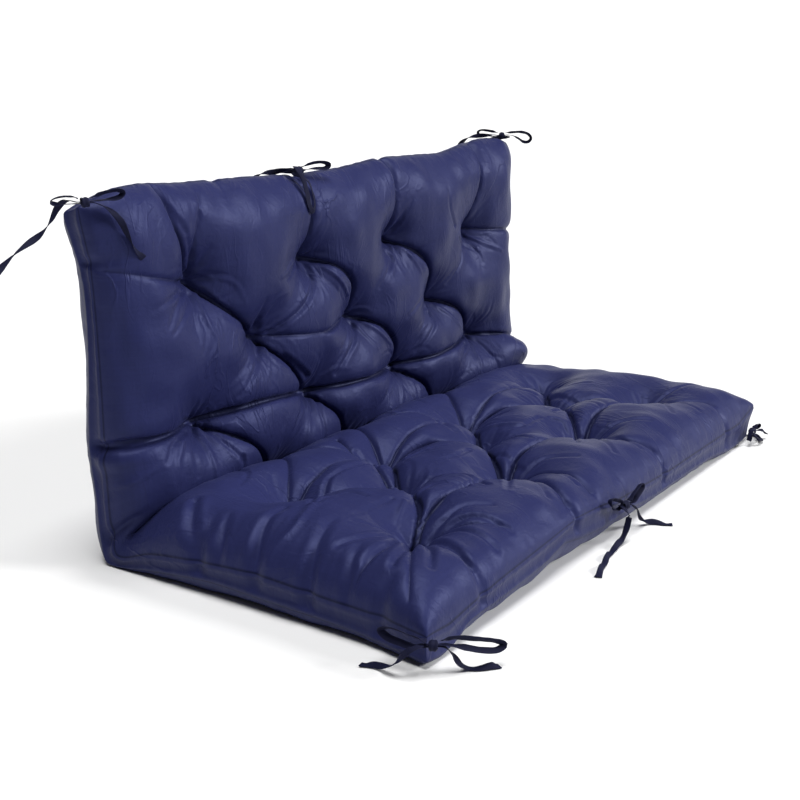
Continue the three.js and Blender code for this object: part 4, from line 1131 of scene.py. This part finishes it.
# Threads of a plain weave, from the weave's own places in metres: two sets of threads, each a row of
# rounded ridges |sin(pi * threads * place)|, that pass over and under each other. Puts out the height of
# the weave, and slubs that lighten or darken whole threads a little: the mean of two noises, each drawn out
# along one set.
def makeWeaveGroup():
    group = bpy.data.node_groups.new("plainWeave", "ShaderNodeTree")
    for name, kind, direction in (
        ("Place", "Vector", "INPUT"), ("Threads", "Float", "INPUT"),
        ("Height", "Float", "OUTPUT"), ("Slub", "Float", "OUTPUT"),
    ):
        group.interface.new_socket(name=name, in_out=direction, socket_type="NodeSocket" + kind)
    given = group.nodes.new("NodeGroupInput")
    result = group.nodes.new("NodeGroupOutput")

    def math(operation, *values):
        return addNode(group, "Math", dict(enumerate(values)), operation=operation).outputs[0]

    scale = math("MULTIPLY", given.outputs["Threads"], np.pi)
    scaled = addNode(group, "VectorMath", {0: given.outputs["Place"], "Scale": scale}, operation="SCALE")
    split = addNode(group, "SeparateXYZ", {0: scaled.outputs[0]})
    warpSine, weftSine = (math("SINE", split.outputs[k]) for k in (0, 1))
    over = math("ADD", math("MULTIPLY", math("MULTIPLY", warpSine, weftSine), 0.5), 0.5)
    warp = math("MULTIPLY", math("ABSOLUTE", warpSine), over)
    weft = math("MULTIPLY", math("ABSOLUTE", weftSine), math("SUBTRACT", 1.0, over))
    group.links.new(math("ADD", warp, weft), result.inputs["Height"])
    slubs = []
    for stretch in ((4, 260, 1), (260, 4, 1)):
        drawn = addNode(group, "VectorMath", {0: given.outputs["Place"], 1: stretch}, operation="MULTIPLY")
        noise = addNode(group, "TexNoise", {"Vector": drawn.outputs[0], "Scale": 1, "Detail": 2})
        slubs.append(noise.outputs["Fac"])
    group.links.new(math("MULTIPLY", math("ADD", *slubs), 0.5), result.inputs["Slub"])
    return group


# what both kinds of cloth share
patternLook = {
    "patchScale": 6,  # soft patches, a few to a metre
    "patchDetail": 3,
    "patchShare": 0.35,  # how much the patches, and the slubs, take the colour from dark to light
    "slubShare": 0.85,
    "crumpleDetail": 4,
    "crumpleRoughness": 0.55,
    "crumpleDistortion": 1.2,
    "wrinkleStretch": (1.5, 0.6, 0.6),
    "wrinkleScale": 11,
    "wrinkleDetail": 2,
    "wrinkleDistortion": 1.5,
    "wrinkleHalf": 0.045,  # half width of a wrinkle, as a difference of the noise from its middle value
    "wrinkleFade": (0.45, 0.65),  # values of the patches between which the wrinkles come up
    # colour of the painted shade lines along the seams and in the creases
    "paintedShadeColour": (0.0008, 0.0009, 0.004, 1),
    "sheenTint": (0.55, 0.6, 1, 1),
}
clothLook = {
    "dark": (0.0120, 0.0142, 0.054, 1),
    "light": (0.0205, 0.0240, 0.091, 1),
    "seamShadeLine": (0.0013, 0.7),  # half width of the painted shade line along a seam, and how dark it is
    # painted shade line in a crease: half width, and how dark it is at the deepest crease
    "creaseLine": (0.0021, 0.6),
    "crumple": 0.0008,  # height of the cloth's fine crumples, each about a centimetre wide
    "crumpleScale": 60,
    "wrinkles": 0.0008,  # depth of the narrow wrinkles that wander over the cloth
    "roughness": 0.46,
    "specular": 0.24,
    "specularTint": (0.45, 0.52, 1, 1),
    "sheen": 0.03,
    "sheenRoughness": 0.35,
    "threads": 1400,  # threads in a metre
    "weaveDepth": 0.00012,
    "weaveStrength": 0.25,
    "wear": 0.05,  # how much the roughness wanders over the cloth
}
tieLook = {
    "dark": (0.0035, 0.0040, 0.016, 1),
    "light": (0.0070, 0.0080, 0.032, 1),
    "seamShadeLine": None,
    "crumple": 0.0004,
    "crumpleScale": 34,
    "wrinkles": 0.0,
    "roughness": 0.68,
    "specular": 0.12,
    "specularTint": (1, 1, 1, 1),
    "sheen": 0.03,
    "sheenRoughness": 0.5,
    "threads": 1100,
    "weaveDepth": 0.00025,
    "weaveStrength": 0.5,
    "wear": 0.06,
}


# Woven cloth: its colour goes between dark and light by slubs and by soft patches, its roughness wanders,
# and the weave, crumples and narrow wrinkles stand up from it. Painted shade: dark lines along the seams and
# in the creases stand in for the shade that falls in them.
def makeClothMaterial(name, look, weaveGroup):
    material = bpy.data.materials.new(name)
    material.use_nodes = True
    tree = material.node_tree
    shader = tree.nodes["Principled BSDF"]
    for socket, value in (
        ("Specular IOR Level", "specular"), ("Specular Tint", "specularTint"), ("Sheen Weight", "sheen"),
        ("Sheen Roughness", "sheenRoughness"), ("Sheen Tint", "sheenTint"),
    ):
        shader.inputs[socket].default_value = look[value]

    def noise(place, kind):
        inputs = {"Vector": place}
        for socket in ("Scale", "Detail", "Roughness", "Distortion"):
            if kind + socket in look:
                inputs[socket] = look[kind + socket]
        return addNode(tree, "TexNoise", inputs).outputs["Fac"]

    def math(operation, *values):
        return addNode(tree, "Math", dict(enumerate(values)), operation=operation).outputs[0]

    def ramp(value, low, high, **settings):  # low and high: a value, and what comes out there
        names = ("Value", "From Min", "To Min", "From Max", "To Max")
        return addNode(tree, "MapRange", dict(zip(names, (value, *low, *high))), **settings).outputs["Result"]

    def mix(share, first, second):
        inputs = {"Factor": share, "A": first, "B": second}
        return addNode(tree, "Mix", inputs, data_type="RGBA").outputs["Result"]

    def bump(height, distance, strength=1, normal=None):
        inputs = {"Height": height, "Distance": distance, "Strength": strength}
        if normal:
            inputs["Normal"] = normal
        return addNode(tree, "Bump", inputs).outputs["Normal"]

    weavePlace = addNode(tree, "UVMap", {}, uv_map="weave").outputs["UV"]
    weave = addNode(tree, "Group", {"Place": weavePlace, "Threads": look["threads"]}, node_tree=weaveGroup)
    place = addNode(tree, "TexCoord", {}).outputs["Object"]
    patches = noise(place, "patch")
    slubs = math("MULTIPLY", weave.outputs["Slub"], look["slubShare"])
    colour = mix(math("MULTIPLY_ADD", patches, look["patchShare"], slubs), look["dark"], look["light"])
    # Painted shade: the colour is darkened along each seam, and in each crease by its depth, where shade
    # falls
    if look["seamShadeLine"]:
        shadeGuides = addNode(tree, "Attribute", {}, attribute_name="shadeGuides").outputs["Vector"]
        toSeam, toCrease, creaseDepth = addNode(tree, "SeparateXYZ", {0: shadeGuides}).outputs
        for away, (half, dark), share in (
            (toSeam, look["seamShadeLine"], None), (toCrease, look["creaseLine"], creaseDepth),
        ):
            line = ramp(away, (0, dark), (half, 0), interpolation_type="SMOOTHSTEP")
            line = math("MULTIPLY", line, share) if share else line
            colour = mix(line, colour, look["paintedShadeColour"])
    normal = None
    if look["wrinkles"]:
        # A wrinkle runs where a drawn-out noise passes through its middle value, and fades where the patches
        # are low.
        drawn = addNode(tree, "Mapping", {"Vector": place, "Scale": look["wrinkleStretch"]})
        apart = math("ABSOLUTE", math("SUBTRACT", noise(drawn.outputs["Vector"], "wrinkle"), 0.5))
        groove = ramp(apart, (0, 1), (look["wrinkleHalf"], 0), interpolation_type="SMOOTHSTEP")
        low, high = look["wrinkleFade"]
        normal = bump(math("MULTIPLY", groove, ramp(patches, (low, 0), (high, 1))), look["wrinkles"])
    normal = bump(noise(place, "crumple"), look["crumple"], normal=normal)
    normal = bump(weave.outputs["Height"], look["weaveDepth"], look["weaveStrength"], normal)
    rough = ramp(patches, (0, look["roughness"] - look["wear"]), (1, look["roughness"] + look["wear"]))
    for output, socket in ((colour, "Base Color"), (rough, "Roughness"), (normal, "Normal")):
        tree.links.new(output, shader.inputs[socket])
    return material


studioValues = {
    "floorReach": 7.0,  # how far the floor runs towards the camera
    "wallAt": 3.5,  # how far behind the cushion the floor starts to rise
    "wallRadius": 14.0,
    "wallHeight": 1.0,
    "halfWidth": 9.0,
    "steps": 24,
    "paint": (0.82, 0.82, 0.82, 1),
    "paintRoughness": 0.9,
    "paintSpecular": 0.1,
    "world": 0.04,
}
suns = {
    "key": {"from": (1.3, -2.0, 1.2), "angle": 0.35, "power": 2.9},
    "above": {"from": (-0.2, -0.2, 2.6), "angle": 0.6, "power": 3.1},
}


# The floor goes on into a wall behind the cushion by a quarter circle, and is square to the camera's heading.
def makeStudio(values):
    heading = radians(cameraValues["headingDegrees"])
    ahead, level = np.array((sin(heading), cos(heading), 0)), np.array((cos(heading), -sin(heading), 0))
    radius = values["wallRadius"]
    turn = np.linspace(0, np.pi / 2, values["steps"])
    away = np.concatenate(([-values["floorReach"]], values["wallAt"] + radius * np.sin(turn)))
    away = np.append(away, away[-1])
    height = np.concatenate(([0], radius * (1 - np.cos(turn)), [radius + values["wallHeight"]]))
    profile = away[:, None] * ahead + height[:, None] * (0, 0, 1)
    aside = values["halfWidth"] * level
    faces = squares(np.arange(2 * len(profile)).reshape(-1, 2), over=True)
    sides = np.stack((profile - aside, profile + aside), axis=1)
    studio = meshObject("studioFloor", sides.reshape(-1, 3), faces.tolist(), len(faces))
    paint = bpy.data.materials.new("studioPaint")
    paint.use_nodes = True
    shader = paint.node_tree.nodes["Principled BSDF"]
    shader.inputs["Base Color"].default_value = values["paint"]
    shader.inputs["Roughness"].default_value = values["paintRoughness"]
    shader.inputs["Specular IOR Level"].default_value = values["paintSpecular"]
    studio.data.materials.append(paint)
    for name, sun in suns.items():
        data = bpy.data.lights.new(name, "SUN")
        data.energy = sun["power"]
        data.angle = sun["angle"]
        lamp = bpy.data.objects.new(name, data)
        lamp.location = sun["from"]
        lamp.rotation_euler = (-Vector(sun["from"])).to_track_quat("-Z", "Y").to_euler()
        bpy.context.collection.objects.link(lamp)
    world = bpy.data.worlds.new("studio")
    world.use_nodes = True
    background = world.node_tree.nodes["Background"]
    background.inputs["Color"].default_value = (1, 1, 1, 1)
    background.inputs["Strength"].default_value = values["world"]
    bpy.context.scene.world = world
    bpy.context.scene.view_settings.view_transform = "Standard"


weaveGroup = makeWeaveGroup()
clothMaterial = makeClothMaterial("navyCloth", {**patternLook, **clothLook}, weaveGroup)
tieMaterial = makeClothMaterial("navyStrap", {**patternLook, **tieLook}, weaveGroup)
for piece in ties.values():
    piece.data.materials.append(tieMaterial)
print("ties made:", len(ties))

pad = makePad(padValues)
pad.data.materials.append(clothMaterial)
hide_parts("cushion")
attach(pad, "root")

makeStudio(studioValues)
print("studio lit")
